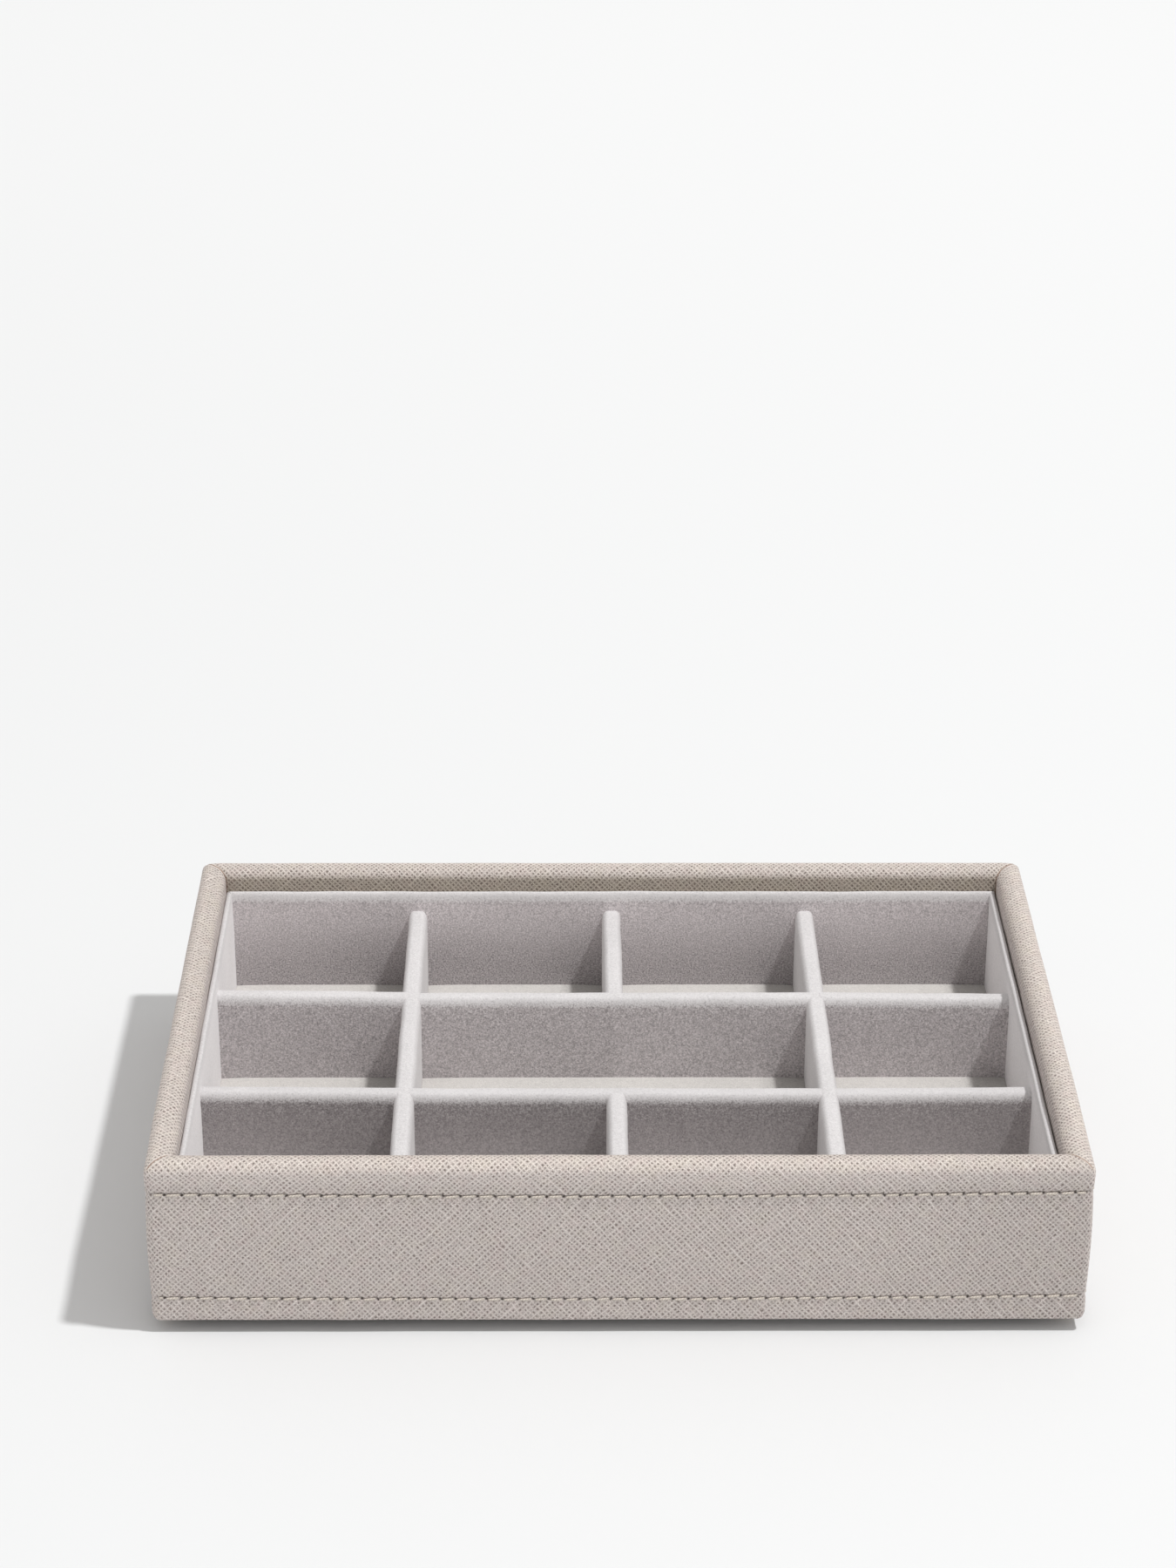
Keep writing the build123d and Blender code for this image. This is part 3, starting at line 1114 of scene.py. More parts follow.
@dataclass
class LeatherCover(WallPiece):
    """The leather of one wall: from under its board up the outside, over the rim and down to a hem inside,
    mitred at both ends. A step is where something starts and over how much it comes in."""

    # Mesh: a face's length, spare length, cuts beside the seams, and faces up to each height outside
    column: float = 0.55
    spare: float = 1.5
    seam_cuts: tuple[float, ...] = (0.7, 0.35, 0.15)
    rungs: tuple[tuple[float, int], ...] = ((6.6, 4), (9.8, 16), (29.4, 14), (33.6, 21))
    # Relief: the band over the top row, the crease over each row with its rise and width, the hollow along
    # it with its width, the fold under the bottom row and the panel between the rows
    band_bulge: float = 0.17
    band_steps: tuple[Fade, ...] = ((0.4, 0.25, 0.8), (0.6, 0.3, 3.2))
    crease_depth: float = 0.12
    bottom_crease: float = 0.75
    crease_shape: Pair = (0.30, 0.24)
    crease_turn: float = 5.0
    hollow: Pair = (0.05, 0.9)
    toe_bulge: float = 0.10
    toe_step: Pair = (0.2, 1.2)
    panel_bulge: float = 0.30
    # Waves: their height, where they calm down before the ends, and their lengths
    face_waves: tuple = (0.05, 12, (61, 37, 23))
    rim_waves: tuple = (0.07, 10, (83, 41, 19))
    # Corners: seams and dips in the rim with their widths, and how the lower edge and the front rim bend
    seam_depth: float = 0.14
    seam_width: float = 0.22
    dip: float = 0.28
    dip_width: float = 1.1
    dip_depth: float = 3.2
    toe_rise: float = 0.4
    toe_power: float = 1.5
    side_rise: float = 1.4
    side_reach: float = 14.0
    toe_height: float = 5.0
    front_sink: float = 0.7
    sink: Pair = (33.0, 5.0)
    near_front: Pair = (26.0, 20.0)
    # Shading: depths under the top where the rim's parts begin, and how pale, dark or yellow they are; the
    # paler band is a painted highlight, and the darker inside, right end and turned-under hem are painted
    # shade
    rim_step: Pair = (1.9, 1.4)
    inner_step: Pair = (0.9, 1.6)
    ochre_step: Pair = (2.3, 1.6)
    band_highlight: float = 0.10
    band_highlight_step: Pair = (0.4, 3.0)
    inner_shade: float = 0.0
    rim_ochre: float = 0.28
    right_shade: float = 0.0
    right_step: Pair = (40.0, 45.0)
    under_shade: float = 0.25
    sewn_step: Pair = (0.5, 0.4)
    map_turn: float = 0.37

    slot = "leather"

    def node(self) -> str:
        """The node it stands for."""
        return self.side.label + "_cover"

    def model(self) -> Piece:
        """Fold a strip round the wall from its turn-under, mitre it, shape it and give it its thickness.

        Returns:
            The cover.
        """
        length, width = 2 * self.end + self.spare, PLAN.wall - PLAN.lower_radius
        piece = Bench.start(
            self.side.label + "_leather_cover", bpy.ops.mesh.primitive_grid_add, (length, width, 1),
            x_subdivisions=round(length / self.column), y_subdivisions=3, size=1,
            location=(0, PLAN.lower_radius + width / 2, PLAN.plinth),
        )
        Bench.fold(piece, lambda at: at[:, 1] < PLAN.lower_radius + NEAR, self._path())
        for way in (1, -1):
            for gap in self.seam_cuts:
                Bench.slice(piece, (way * (self.end - gap * math.sqrt(2)), 0, 0), (way, 1, 0))
            Bench.slice(piece, (way * self.end, 0, 0), (way, 1, 0), clear=True)
        self._shape(piece)
        Bench.modify(piece, "SOLIDIFY", thickness=PLAN.leather, offset=-1.0)
        return piece

    def _path(self) -> list[Pair]:
        """Draw the section from the lower edge, outside, over the rim to the hem inside.

        Returns:
            Its points in Y and Z.
        """
        low, top, r = PLAN.lower_turn, PLAN.rim_turn, PLAN.rim_radius
        path = [(PLAN.lower_radius, PLAN.plinth)]
        path += arc((PLAN.lower_radius, low), PLAN.lower_radius, -90, -180, 3)
        start = low
        for height, steps in (*self.rungs, (top, 4)):
            path += ladder(0.0, start, height, steps)
            start = height
        path += arc((r, top), r, 180, 90, 8) + [(PLAN.wall - r, PLAN.height)]
        path += arc((PLAN.wall - r, top), r, 90, 0, 8)
        return path + ladder(PLAN.wall, top, PLAN.height - PLAN.hem, 6)

    def _unroll(self, y: Rows, z: Rows) -> tuple[Rows, Rows, Rows, Rows]:
        """Find where each vertex lies on the strip.

        Args:
            y: depths from the outer face.
            z: heights.

        Returns:
            The distance round the section, the outward direction in Y and in Z, and how much the place takes
            part in the outside's relief.
        """
        low, top, r, lower_r = PLAN.lower_turn, PLAN.rim_turn, PLAN.rim_radius, PLAN.lower_radius
        edge, quarter = PLAN.wall - r, math.pi / 2
        under = PLAN.wall - lower_r
        face = under + lower_r * quarter
        rim = face + top - low
        outer_turn = np.arctan2(z - top, np.maximum(r - y, 0))
        inner_turn = np.arctan2(np.maximum(y - edge, 0), z - top)
        lower_turn = np.arctan2(lower_r - y, low - z)
        none, one = 0 * y, 1 + 0 * y
        parts = (
            ((z >= top) & (y <= r), rim + r * outer_turn,
             -np.cos(outer_turn), np.sin(outer_turn), 1 - ease(outer_turn / quarter * 0.85)),
            ((z >= top) & (y <= edge), rim + r * quarter + (y - r), none, one, none),
            (z >= top, rim + r * quarter + (edge - r) + r * inner_turn,
             np.sin(inner_turn), np.cos(inner_turn), none),
            ((y > PLAN.wall / 2) & (z > low), rim + 2 * r * quarter + (edge - r) + (top - z),
             one, none, none),
            (z > low, face + z - low, -one, none, one),
            (y < lower_r, under + lower_r * lower_turn,
             -np.sin(lower_turn), -np.cos(lower_turn), np.clip(lower_turn / quarter, 0, 1)),
        )
        places, *columns = zip(*parts)
        rest = (PLAN.wall - y, none, -one, none)
        return tuple(np.select(places, column, default) for column, default in zip(columns, rest))

    def _relief(self, x: Rows, z: Rows) -> Rows:
        """Work out how far the outer face stands out.

        Args:
            x: places along the wall.
            z: heights.

        Returns:
            The band over the top row, the creases and the panel between them, in millimetres.
        """
        height, calm_width, lengths = self.face_waves
        calm = ease((self.end - np.abs(x)) / calm_width)
        above, below = (z - row.height - row.lift(self.side, x) for row in (TOP_ROW, BOTTOM_ROW))
        total = height * calm * ripple(self.side.value + 3, x + 0.6 * z, lengths)
        for row, offset, crease in ((TOP_ROW, above, 1.0), (BOTTOM_ROW, below, self.bottom_crease)):
            rise = row.pitch * math.tan(math.radians(self.crease_turn))
            saw = (np.mod(row.phase(self.side, x), 1) - 0.5) * rise * calm
            above_crease = offset - saw - self.crease_shape[0]
            total -= self.crease_depth * crease * hump(above_crease, self.crease_shape[1])
            total -= self.hollow[0] * hump(offset, self.hollow[1])
        steps = (part * ease((above - start) / width) for part, start, width in self.band_steps)
        total += self.band_bulge * sum(steps)
        total += self.toe_bulge * ease((-below - self.toe_step[0]) / self.toe_step[1])
        share = np.clip(below / np.maximum(below - above, 0.1), 0, 1)
        return total + self.panel_bulge * np.sin(math.pi * share)

    def _note_pattern(self, piece: Piece, run: Rows, gap: Rows, edges: Rows) -> None:
        """Note on each vertex what the leather's finish reads.

        Args:
            piece: the flat cover.
            run: distances round the section.
            gap: distances from the seams.
            edges: how much each vertex belongs to the rim or the inside.
        """
        x, y, z = Bench.points(piece).T.copy()
        outside = (y < PLAN.wall / 2).astype(float)
        inside = (1 - outside) * ease((PLAN.height - self.inner_step[0] - z) / self.inner_step[1])
        under = (z < PLAN.plinth + 0.1) & (y > 1.0)
        # Painted highlight: the band over the top row grows paler toward the rim
        pale = self.band_highlight * ease((z - TOP_ROW.height - self.band_highlight_step[0]) / self.band_highlight_step[1])
        # Painted shade: darker inside the wall and toward the front's right end
        tone = 1 + pale * outside - self.inner_shade * inside
        tone -= self.right_shade * ease((x - self.right_step[0]) / self.right_step[1]) * outside
        # Painted shade inside the back wall, darker and yellower; the rim's top a little yellower
        golden = self.rim_ochre * ease((z - PLAN.height + self.ochre_step[0]) / self.ochre_step[1])
        ochre = (self.inner_shade > 0) * inside + golden * (1 - inside)
        Bench.unwrap(piece, x / 10 + self.side.value * self.map_turn, run / 10)
        Bench.note(piece, "mitre_gap", np.maximum(gap, 0))
        Bench.note(piece, "rim_share", edges)
        # Painted shade: the turned-under hem is darkened
        Bench.note(piece, "tone", np.where(under, self.under_shade, tone))
        Bench.note(piece, "ochre", ochre)
        for row in (TOP_ROW, BOTTOM_ROW):
            Bench.note(piece, row.name + "_offset", z - row.height - row.lift(self.side, x))
            Bench.note(piece, row.name + "_phase", row.phase(self.side, x))
            sewn = ease((self.end - self.sewn_step[0] - np.abs(x)) / self.sewn_step[1])
            Bench.note(piece, row.name + "_sewn", outside * sewn)

    def _shape(self, piece: Piece) -> None:
        """Give the strip its notes, its relief, its round corners and its seams.

        Args:
            piece: the folded and mitred strip.
        """
        x, y, z = Bench.points(piece).T.copy()
        end, r, far = self.end, PLAN.corner_radius, np.abs(x)
        run, out_y, out_z, share = self._unroll(y, z)
        gap = (end - far - y) / math.sqrt(2)
        rim = ease((z - PLAN.height + self.rim_step[0]) / self.rim_step[1])
        edges = np.maximum(rim, (y >= PLAN.wall / 2).astype(float))
        self._note_pattern(piece, run, gap, edges)
        height, calm_width, lengths = self.rim_waves
        waves = height * ease((end - far) / calm_width) * ripple(self.side.value + 11, x, lengths)
        out = share * self._relief(x, z) + (1 - share) * waves
        out -= self.seam_depth * hump(gap, self.seam_width) * edges
        outward = np.clip((self.dip_depth - y) / self.dip_depth, 0, 1)
        rise = -self.dip * hump(gap, self.dip_width) * rim * outward
        new_y = y + out * out_y
        turned = np.clip((far - (end - r)) / np.maximum(r - y, 1e-6), 0, 1)
        turn, reach = turned * math.pi / 4, r - new_y
        rounded = (y < r) & (far > end - r)
        new_x = np.where(rounded, end - r + reach * np.sin(turn), far * (end - new_y) / (end - y))
        new_y = np.where(rounded, r - reach * np.cos(turn), new_y)
        rise += self.toe_rise * turned ** self.toe_power * self._toe(z)
        if self.side is not Side.FRONT:
            lifted = ease(1 - (end - r - far) / self.side_reach) * (1 - turned) * self._nearness(x, 0 * y)
            rise += self.side_rise * lifted * self._toe(z)
        rise -= self.front_sink * ease((z - self.sink[0]) / self.sink[1]) * self._nearness(x, y)
        Bench.put_points(piece, np.stack([np.sign(x) * new_x, new_y, z + out * out_z + rise], 1))

    def _toe(self, z: Rows) -> Rows:
        """How much each height takes part in the bend of the lower edge."""
        return ease((PLAN.plinth + self.toe_height - z) / self.toe_height)

    def _nearness(self, x: Rows, y: Rows) -> Rows:
        """Say how near each vertex is to the front wall, where the rim lies a little lower.

        Args:
            x: places along the wall.
            y: depths from its outer face.

        Returns:
            Shares from 0 at the back to 1 at the front.
        """
        start, width = self.near_front
        if self.side is Side.FRONT:
            return ease((start - y) / width)
        if self.side is Side.BACK:
            return 0 * x
        forward = x if self.side is Side.LEFT else -x
        return ease((forward - PLAN.depth / 2 + start) / width)


@dataclass
class Stitching(WallPiece):
    """One row of separate stitches on one wall."""

    row: StitchRow
    half_height: float = 0.27
    half_depth: float = 0.24
    taper: float = 0.35
    dive: float = 0.40
    gap: float = 0.30
    tilt: float = 5.0
    # How much hand sewing varies: the tilt in degrees, and the place up, in and along
    tilt_play: float = 2.2
    height_play: float = 0.06
    depth_play: Pair = (-0.05, 0.02)
    place_play: float = 0.04
    spread: float = 2.0

    slot = "thread"
    crease_angle = 70.0

    def node(self) -> str:
        """The node it stands for."""
        return "%s_%s_stitches" % (self.side.label, self.row.name)

    def model(self) -> Piece:
        """Model one flat stitch of length 1 with ends that dive into their holes, and repeat it.

        Returns:
            The row.
        """
        name = "%s_%s_stitching" % (self.side.label, self.row.name)
        piece = Bench.start(name, bpy.ops.mesh.primitive_cylinder_add, (1, 1, 1),
                            vertices=8, radius=1, depth=1, rotation=(0, math.pi / 2, 0))
        Bench.divide(piece, running(0, 0.5), 5)
        x, y, z = Bench.points(piece).T
        share = np.abs(2 * x)
        Bench.unwrap(piece, x, np.arctan2(z, y) / (2 * math.pi))
        taper = 1 - self.taper * share ** 4
        depth = y * self.half_depth * taper + self.dive * share ** 5
        Bench.put_points(piece, np.stack([x, depth, z * self.half_height * taper], 1))
        each, holes = len(x), self.row.holes(self.side)
        Bench.modify(piece, "ARRAY", count=len(holes) - 1, use_relative_offset=False,
                     use_constant_offset=True, constant_offset_displace=(self.spread, 0, 0))
        self._lay(piece, each, holes)
        return piece

    def _lay(self, piece: Piece, each: int, holes: Rows) -> None:
        """Lay a stitch between each two needle holes, each tilted a little differently, along the bow.

        Args:
            piece: the stitches in a row, evenly spread.
            each: how many vertices a stitch has.
            holes: places of the needle holes.
        """
        dice = random.Random(self.side.value + round(self.row.height))
        at = Bench.points(piece)
        for k, (start, end) in enumerate(zip(holes, holes[1:])):
            one, middle = at[k * each:(k + 1) * each], (start + end) / 2
            x = (one[:, 0] - self.spread * k) * (end - start - self.gap)
            slope = math.tan(math.radians(self.tilt + dice.uniform(-self.tilt_play, self.tilt_play)))
            height = self.row.height + self.row.lift(self.side, middle)
            one[:, 2] += height + x * slope + dice.uniform(-self.height_play, self.height_play)
            one[:, 1] += dice.uniform(*self.depth_play)
            one[:, 0] = middle + x + dice.uniform(-self.place_play, self.place_play)
        Bench.put_points(piece, at)


def shading_along(x: Rows, strength: float = 0.12) -> Rows:
    """Painted light and shade: how much paler the pile looks at the left end of each compartment, and darker
    at its right end.
    """
    share = np.interp(x, PLAN.columns, range(len(PLAN.columns)))
    return strength * (0.5 - np.mod(share, 1.0))


@dataclass
class LiningVelvet(WallPiece):
    """The velvet of one lined wall: up its face, over its top edge and a little way down behind.

    Its top leans inward and is raised at its two ends. Its colour is made paler or darker at its foot, its
    head and its top edge, and along each compartment if it faces one way or the other, as painted light and
    shade."""

    lean: float = 0.0
    raised: Pair = (0.0, 0.0)
    # Painted sheen: how much the top edge pales
    nap: float = 1.0
    # Painted light and shade at the foot, the head and the top edge; facing sets the painted light and shade
    # along each compartment
    brushed: tuple[float, float, float] = (0.0, 0.0, 0.0)
    facing: int = 0
    droop: float = 1.0
    nap_depth: float = 3.6
    nap_share: float = 0.61
    # Mesh: a face's length, the gap under the strip, its first fold's height and where it ends behind
    column: float = 1.2
    foot_gap: float = 0.6
    first_fold: float = 4.0
    tail: float = 27.0
    top_radius: float = 0.6
    pile: float = 0.5
    # Where the lean, the top edge's waves and the brushed head start, and over how much they come in
    high_step: Pair = (24.0, 9.0)
    edge_step: Pair = (30.0, 3.0)
    head_step: Pair = (14.0, 17.0)
    calm_width: float = 8.0
    face_waves: tuple = (0.06, (57, 31, 17))
    edge_waves: tuple = (0.08, (73, 29, 13))

    def node(self) -> str:
        """The node it stands for."""
        return self.side.label + "_lining_velvet"

    def model(self) -> Piece:
        """Fold a strip over the lining's top, mitre it by the outer corners' planes and shape it.

        Returns:
            The lining.
        """
        length, face, back = 2 * self.end, PLAN.lining_inner, PLAN.lining_outer
        shoulder = PLAN.lining_top - self.top_radius
        low = PLAN.base_top + self.foot_gap
        first = low + self.first_fold
        piece = Bench.start(
            self.side.label + "_velvet_lining", bpy.ops.mesh.primitive_grid_add,
            (length, self.first_fold, 1),
            x_subdivisions=round(length / self.column), y_subdivisions=1, size=1,
            location=(0, face, low + self.first_fold / 2), rotation=(math.pi / 2, 0, 0),
        )
        path = [(face, first)] + ladder(face, first, shoulder, 8)
        path += arc(((face + back) / 2, shoulder), self.top_radius, 0, 180, 8)
        path += ladder(back, shoulder, self.tail, 3)
        Bench.fold(piece, lambda at: at[:, 2] > first - NEAR, path)
        for way in (1, -1):
            Bench.slice(piece, (way * self.end, 0, 0), (way, 1, 0), clear=True)
        self._shape(piece)
        Bench.modify(piece, "SOLIDIFY", thickness=self.pile, offset=-1.0)
        return piece

    def _shape(self, piece: Piece) -> None:
        """Lean the strip, make it slightly uneven and note how its pile lies.

        Args:
            piece: the mitred strip.
        """
        x, y, z = Bench.points(piece).T.copy()
        below = PLAN.lining_top - z
        z = PLAN.lining_top - np.where(below < self.top_radius + NEAR, below * self.droop, below)
        calm = ease((self.end - np.abs(x) - y) / self.calm_width)
        high = ease((z - self.high_step[0]) / self.high_step[1])
        edge = ease((z - self.edge_step[0]) / self.edge_step[1])
        waves, edge_waves = (
            height * calm * ripple(self.side.value + seed, x, lengths)
            for seed, (height, lengths) in ((5, self.face_waves), (7, self.edge_waves))
        )
        new_y = y + high * (self.lean + waves)
        new_x = x * (self.end - new_y) / (self.end - y)
        lift = between(self.raised, (x / self.end + 1) / 2) * high + edge_waves * edge
        Bench.put_points(piece, np.stack([new_x, new_y, z + lift], 1))
        # Painted sheen on the top edge, and painted light and shade on the face
        nap = np.clip((z - PLAN.lining_top + self.nap_depth) / (self.nap_share * self.nap_depth), 0, 1)
        face = between(self.brushed[:2], ease((z - self.head_step[0]) / self.head_step[1]))
        if self.facing:
            face += shading_along(x * self.facing)
        Bench.note(piece, "nap", self.nap * nap)
        Bench.note(piece, "brushing", face * (1 - nap ** 2) + self.brushed[2] * nap ** 2)


@dataclass
class DividerRun(SoftPiece):
    """One velvet-covered stretch of a divider, along X or Y, with its rounded top.

    Its colour is made paler or darker at its foot and its head, as painted light and shade, and it is lifted
    at its two ends."""

    name: str
    divider: str
    along_x: bool
    start: float
    end: float
    place: float
    seed: int
    # Painted light and shade at the foot and the head; slant sets the painted light and shade along each
    # compartment
    brushed: Pair = (0.0, 0.0)
    lifted: Pair = (0.0, 0.0)
    slant: float = 1.0
    foot_gap: float = 0.1
    droop: float = 1.9
    # Where the painted sheen pales the rounded top
    nap_depth: float = 3.4
    nap_top: float = 1.15
    column: float = 1.6
    # Waves: their height and their lengths, for both faces together, for each face and for the top
    shared_waves: tuple = (0.07, (47, 29, 19))
    face_waves: tuple = (0.05, (31, 23, 13))
    top_waves: tuple = (0.07, (53, 27, 15))

    def node(self) -> str:
        """The node it stands for."""
        return self.divider + "_divider_velvet"

    def model(self) -> Piece:
        """Round the two upper edges of a block, cut it crosswise and make it slightly uneven.

        Returns:
            The stretch.
        """
        length, foot = self.end - self.start, PLAN.floor_board_top + self.foot_gap
        height, axis = PLAN.divider_top - foot, 0 if self.along_x else 1
        size, place = [PLAN.divider, PLAN.divider, height], [self.place, self.place, foot + height / 2]
        size[axis], place[axis] = length, (self.start + self.end) / 2
        piece = Bench.block(self.name + "_run", size, place)
        along, top = running(axis, length / 2), upper(PLAN.divider_top)
        Bench.round_off(piece, lambda a, b: top(a, b) & along(a, b), PLAN.divider_radius, 8)
        Bench.divide(piece, along, max(6, min(60, round(length / self.column))))
        self._shape(piece, axis, length)
        return piece

    def _shape(self, piece: Piece, axis: int, length: float) -> None:
        """Soften the top, note how the pile lies and make the faces and the top uneven.

        Args:
            piece: the rounded block.
            axis: the axis that it runs along.
            length: its length.
        """
        at = Bench.points(piece)
        run, side = at[:, axis], at[:, 1 - axis] - self.place
        below = PLAN.divider_top - at[:, 2]
        below = np.where(below < PLAN.divider_radius + NEAR, below * self.droop, below)
        at[:, 2] = PLAN.divider_top - below
        # Painted sheen on the rounded top, and painted light and shade below it
        nap = np.clip(self.nap_top - below / self.nap_depth, 0, 1)
        high = ease((at[:, 2] - PLAN.floor_top) / (PLAN.divider_top - PLAN.floor_top))
        slanted = self.slant * shading_along(run) if self.along_x else 0
        Bench.note(piece, "nap", nap)
        Bench.note(piece, "brushing", (between(self.brushed, high) + slanted) * (1 - nap))
        kinds = ((0, self.shared_waves), (9, self.face_waves), (4, self.top_waves))
        shared, face, top = (
            height * ripple(self.seed + more, run, lengths) for more, (height, lengths) in kinds
        )
        lifted = between(self.lifted, (run - self.start) / length)
        at[:, 1 - axis] += high * (shared + np.sign(side) * face)
        at[:, 2] += high * (lifted + top)
        Bench.put_points(piece, at)


@dataclass
class FloorPads(SoftPiece):
    """The velvet floor, seen as one soft-edged panel in each compartment, from front to back row by row."""

    spans: tuple = (
        ((0, 1), (1, 2), (2, 3), (3, 4)),
        ((0, 1), (1, 3), (3, 4)),
        ((0, 1), (1, 2), (2, 3), (3, 4)),
    )
    raised: tuple[float, float, float] = (0.0, 0.0, 0.45)
    paler: tuple[float, float, float] = (0.0, 0.0, 0.05)
    edge: float = 0.45
    crown: float = 0.15
    corner_drop: float = 0.25
    sink: float = 0.05
    tuck: float = 0.2
    cuts: tuple[int, int] = (16, 8)
    # The painted shade at the right end of each panel: its strength, its width and its soft edge
    shade: float = 0.27
    shade_width: float = 9.5
    shade_edge: float = 3.0

    def node(self) -> str:
        """The node it stands for."""
        return "floor_velvet"

    def model(self) -> Piece:
        """Model a panel for every compartment, tucked under its neighbours, and join them.

        Returns:
            The floor.
        """
        half = PLAN.divider / 2 - self.tuck
        columns, rows = PLAN.columns, PLAN.rows
        panels = []
        for row, pairs in enumerate(self.spans):
            front = rows[row] + (half if row else -self.tuck)
            back = rows[row + 1] - (half if row < len(self.spans) - 1 else -self.tuck)
            for first, last in pairs:
                left = columns[first] + (half if first else -self.tuck)
                right = columns[last] - (half if last < len(columns) - 1 else -self.tuck)
                panels.append(self._panel(row, first, (left, right), (front, back)))
        Bench.take(panels[0])
        for panel in panels:
            panel.select_set(True)
        bpy.ops.object.join()
        panels[0].name = panels[0].data.name = "velvet_floor"
        return panels[0]

    def _panel(self, row: int, column: int, wide: Pair, deep: Pair) -> Piece:
        """Model one panel: a thin block with rounded upper edges and a slight crown.

        Args:
            row: its row, from the front.
            column: its first column, from the left.
            wide: its left and right ends.
            deep: its front and back ends.

        Returns:
            The panel.
        """
        low, top = PLAN.floor_board_top, PLAN.floor_top + self.raised[row]
        size = (wide[1] - wide[0], deep[1] - deep[0], top - low)
        middle = (sum(wide) / 2, sum(deep) / 2, (low + top) / 2)
        piece = Bench.block("floor_panel_%d_%d" % (row, column), size, middle)
        Bench.round_off(piece, upper(top), self.edge, 4)
        for axis, count in enumerate(self.cuts):
            for k in range(1, count):
                place, normal = list(middle), [0, 0, 0]
                place[axis] += size[axis] * (k / count - 0.5)
                normal[axis] = 1
                Bench.slice(piece, place, normal)
        at = Bench.points(piece)
        u, v = (np.clip(2 * (at[:, axis] - middle[axis]) / size[axis], -1, 1) for axis in (0, 1))
        crown = self.crown * (1 - u ** 4) * (1 - v ** 4) - self.corner_drop * (u * v) ** 6 - self.sink
        at[:, 2] += ease((at[:, 2] - low) / (top - low)) * crown
        Bench.put_points(piece, at)
        # Painted shade at the right end of each panel, added to each row's paler tone
        shade = ease((self.shade_width - (wide[1] - at[:, 0])) / self.shade_edge)
        Bench.note(piece, "brushing", self.paler[row] - self.shade * shade)
        return piece


@dataclass
class Plinth(SoftPiece):
    """The felt-covered foot under the tray, which nests in the rim of the tray below."""

    clearance: float = 0.4
    top: float = 3.95
    corner: float = 3.8
    edge: float = 0.5

    slot = "felt"
    crease_angle = 40.0

    def node(self) -> str:
        """The node it stands for."""
        return "plinth_felt"

    def model(self) -> Piece:
        """Round the corners and the lower edge of a block.

        Returns:
            The foot.
        """
        width, depth = (outer - 2 * (PLAN.wall + self.clearance) for outer in (PLAN.width, PLAN.depth))
        piece = Bench.block("plinth_felt_cover", (width, depth, self.top), (0, 0, self.top / 2))
        Bench.round_off(piece, running(2, self.top / 2), self.corner, 8)
        Bench.round_off(piece, lambda a, b: np.maximum(a[:, 2], b[:, 2]) < NEAR, self.edge, 3)
        return piece


@dataclass
class Insert:
    """The velvet-lined insert: the linings, the dividers and the floor."""

    linings: tuple[LiningVelvet, ...] = (
        LiningVelvet(Side.FRONT, lean=-0.1, brushed=(-0.14, 0.36, 0.0), facing=1),
        LiningVelvet(Side.RIGHT, lean=0.1, brushed=(0.21, 0.23, 0.0)),
        LiningVelvet(
            Side.BACK, lean=-0.15, raised=(0.22, 0.24), brushed=(-0.14, 0.33, 0.10), facing=-1, droop=2.7,
        ),
        LiningVelvet(Side.LEFT, lean=-0.15, nap=0.0, nap_depth=1.0, brushed=(0.24, 0.26, -0.05)),
    )
    # For the left, middle and right stretch of each cross divider: their painted light and shade at foot and
    # head, how they are lifted, and how strong their painted light and shade along each compartment is
    brushed: dict[str, tuple[Pair, ...]] = field(default_factory=lambda: {
        "front_cross": ((0.20, -0.12), (0.22, -0.12), (0.25, 0.03)),
        "rear_cross": ((0.04, 0.17), (0.06, 0.19), (0.08, 0.12)),
    })
    lifted: dict[str, tuple[Pair, ...]] = field(default_factory=lambda: {
        "front_cross": ((0.40, 0.15), (0.0, -0.1), (-0.1, 0.1)),
        "rear_cross": ((0.80, 0.20), (0.0, 0.05), (0.05, -0.30)),
    })
    slants: dict[str, tuple[float, ...]] = field(default_factory=lambda: {
        "front_cross": (1.0, 1.0, 2.2), "rear_cross": (1.0, 1.0, 1.0),
    })
    # How far the dividers reach into the linings and into each other
    seat: float = 0.1
    bite: float = 1.15

    def build(self, velvet: Material, darker: Material, flat: Material) -> None:
        """Build every velvet piece of the insert.

        Args:
            velvet: the pile of most pieces.
            darker: a darker copy of the pile, on the front cross divider.
            flat: the pile of the floor.
        """
        for lining in self.linings:
            lining.build(velvet)
        for run in self._runs():
            run.build(darker if run.divider == "front_cross" else velvet)
        FloorPads().build(flat)

    def _runs(self) -> list[DividerRun]:
        """Lay out the dividers, the cross ones in the stretches between the long ones.

        Returns:
            The stretches.
        """
        start, left, middle, right, end = PLAN.columns
        near, front, rear, far = PLAN.rows
        half = PLAN.divider / 2 - self.bite
        lengthwise = (
            ("left_long", near - self.seat, far + self.seat, left, 21),
            ("right_long", near - self.seat, far + self.seat, right, 22),
            ("front_short", near - self.seat, front - half, middle, 23),
            ("rear_short", rear + half, far + self.seat, middle, 24),
        )
        runs = []
        for name, *ends, place, seed in lengthwise:
            runs.append(DividerRun(name + "_divider", name, False, *ends, place, seed))
        stretches = (
            ("left", start - self.seat, left - half),
            ("middle", left + half, right - half),
            ("right", right + half, end + self.seat),
        )
        for name, place, seed in (("front_cross", front, 31), ("rear_cross", rear, 41)):
            for k, (part, *ends) in enumerate(stretches):
                looks = self.brushed[name][k], self.lifted[name][k], self.slants[name][k]
                full_name = "%s_divider_%s" % (name, part)
                runs.append(DividerRun(full_name, name, True, *ends, place, seed + k, *looks))
        return runs


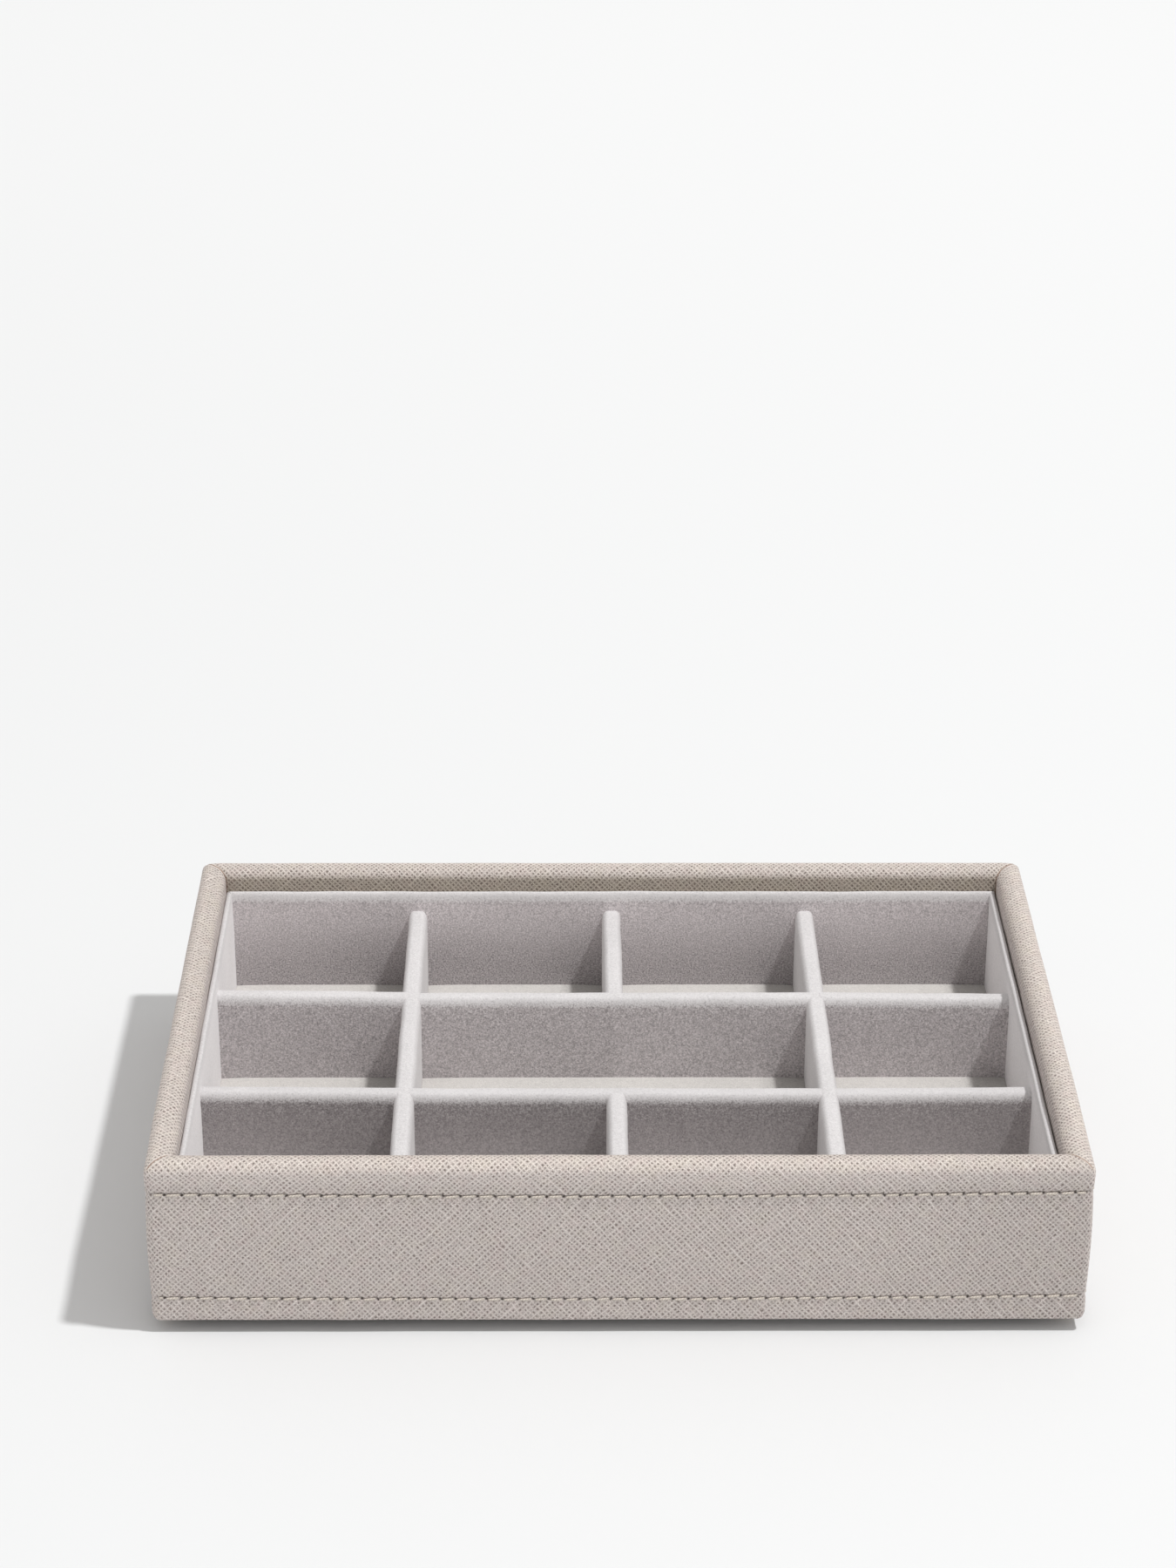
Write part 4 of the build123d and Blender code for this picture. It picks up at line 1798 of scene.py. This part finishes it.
@dataclass
class Studio:
    """The pale floor, the key lamp, the even fill and the camera, in metres and radians."""

    floor_size: float = 8.0
    lamp_place: tuple[float, float, float] = (0.415, -0.150, 1.04)
    lamp_radius: float = 0.032
    lamp_strength: float = 24.0
    fill: Colour = (1.0, 0.985, 0.97)
    fill_strength: float = 0.62
    camera_place: tuple[float, float, float] = (-0.0117374, -0.6233145, 0.3902666)
    pitch: float = 0.4522856
    yaw: float = 0.0095427
    roll: float = 0.0039526
    lens: float = 80.13
    sensor: float = 36.0
    nearest: float = 0.01

    def build(self, floor_finish: Material) -> None:
        """Set up the floor, the lights and the camera.

        Args:
            floor_finish: what the floor is made of.
        """
        plane = bpy.ops.mesh.primitive_plane_add
        floor = Bench.start("studio_floor", plane, (1, 1, 1), size=self.floor_size)
        floor.data.materials.append(floor_finish)
        floor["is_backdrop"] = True
        self._lights()
        self._camera()
        view = bpy.context.scene.view_settings
        view.view_transform = "Standard"
        view.look = "None"

    def _lights(self) -> None:
        """Hang one lamp on the upper right, as strong far off as near, in an even world."""
        key = bpy.data.lights.new("key_lamp", "POINT")
        key.energy = self.lamp_strength
        key.shadow_soft_size = self.lamp_radius
        key.use_nodes = True
        tree = key.node_tree
        falloff = tree.nodes.new("ShaderNodeLightFalloff")
        falloff.inputs["Strength"].default_value = 1.0
        tree.links.new(falloff.outputs["Constant"], tree.nodes["Emission"].inputs["Strength"])
        lamp = bpy.data.objects.new("key_lamp", key)
        lamp.location = self.lamp_place
        bpy.context.scene.collection.objects.link(lamp)
        world = bpy.data.worlds.new("even_fill")
        bpy.context.scene.world = world
        world.use_nodes = True
        background = world.node_tree.nodes["Background"]
        background.inputs["Color"].default_value = (*self.fill, 1.0)
        background.inputs["Strength"].default_value = self.fill_strength

    def _camera(self) -> None:
        """Set up the camera fitted to the photograph."""
        data = bpy.data.cameras.new("camera")
        data.lens = self.lens
        data.sensor_width = self.sensor
        data.clip_start = self.nearest
        camera = bpy.data.objects.new("camera", data)
        bpy.context.scene.collection.objects.link(camera)
        level = math.cos(self.pitch)
        forward = Vector((math.sin(self.yaw) * level, math.cos(self.yaw) * level, -math.sin(self.pitch)))
        right = Vector((math.cos(self.yaw), -math.sin(self.yaw), 0))
        up = right.cross(forward)
        turned_right = right * math.cos(self.roll) + up * math.sin(self.roll)
        turned_up = up * math.cos(self.roll) - right * math.sin(self.roll)
        axes = Matrix((turned_right, turned_up, -forward)).transposed().to_4x4()
        camera.matrix_world = Matrix.Translation(self.camera_place) @ axes
        bpy.context.scene.camera = camera


def board_finish(name: str, board: Material, card: Material) -> Optional[Material]:
    """Choose what one of the frame's own nodes is made of.

    Args:
        name: the node's name.
        board: the finish of the walls, the base and the plinth.
        card: the finish of the linings' and dividers' cores and the floor pad.

    Returns:
        Its finish, or nothing for a node that a new piece stands for.
    """
    if name.endswith(("_card", "_core")) or name == "floor_board":
        return card
    return board if name.endswith("_board") else None


def dress_boards() -> None:
    """Give the boards and cards that keep the frame's own meshes their materials."""
    board, card = FIBREBOARD.make(), GreyCard().make()
    for name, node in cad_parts.items():
        finish = board_finish(name, board, card)
        if finish is None:
            continue
        for slot in node.material_slots:
            slot.material = finish
        log.info("%s: %s", name, finish.name)


def corners() -> list[list[float]]:
    """The box of everything that isn't stage, as plain numbers."""
    return [[float(value) for value in corner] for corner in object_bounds()]


def main() -> None:
    """Build the tray round its frame, then the studio."""
    logging.basicConfig(level=logging.INFO, format="%(name)s: %(message)s")
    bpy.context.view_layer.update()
    leather, thread = CrossGrainLeather().make(), TwistedThread().make()
    shades = {Side.BACK: {"inner_shade": 0.22}, Side.FRONT: {"right_shade": 0.09}}
    for side in Side:
        LeatherCover(side, **shades.get(side, {})).build(leather)
        for row in (TOP_ROW, BOTTOM_ROW):
            Stitching(side, row).build(thread)
    Insert().build(VelvetPile().make(), DARKER_PILE.make(), FLOOR_PILE.make())
    Plinth().build(FELT.make())
    dress_boards()
    Studio().build(PaleFloor().make())


if __name__ == "__main__":
    main()
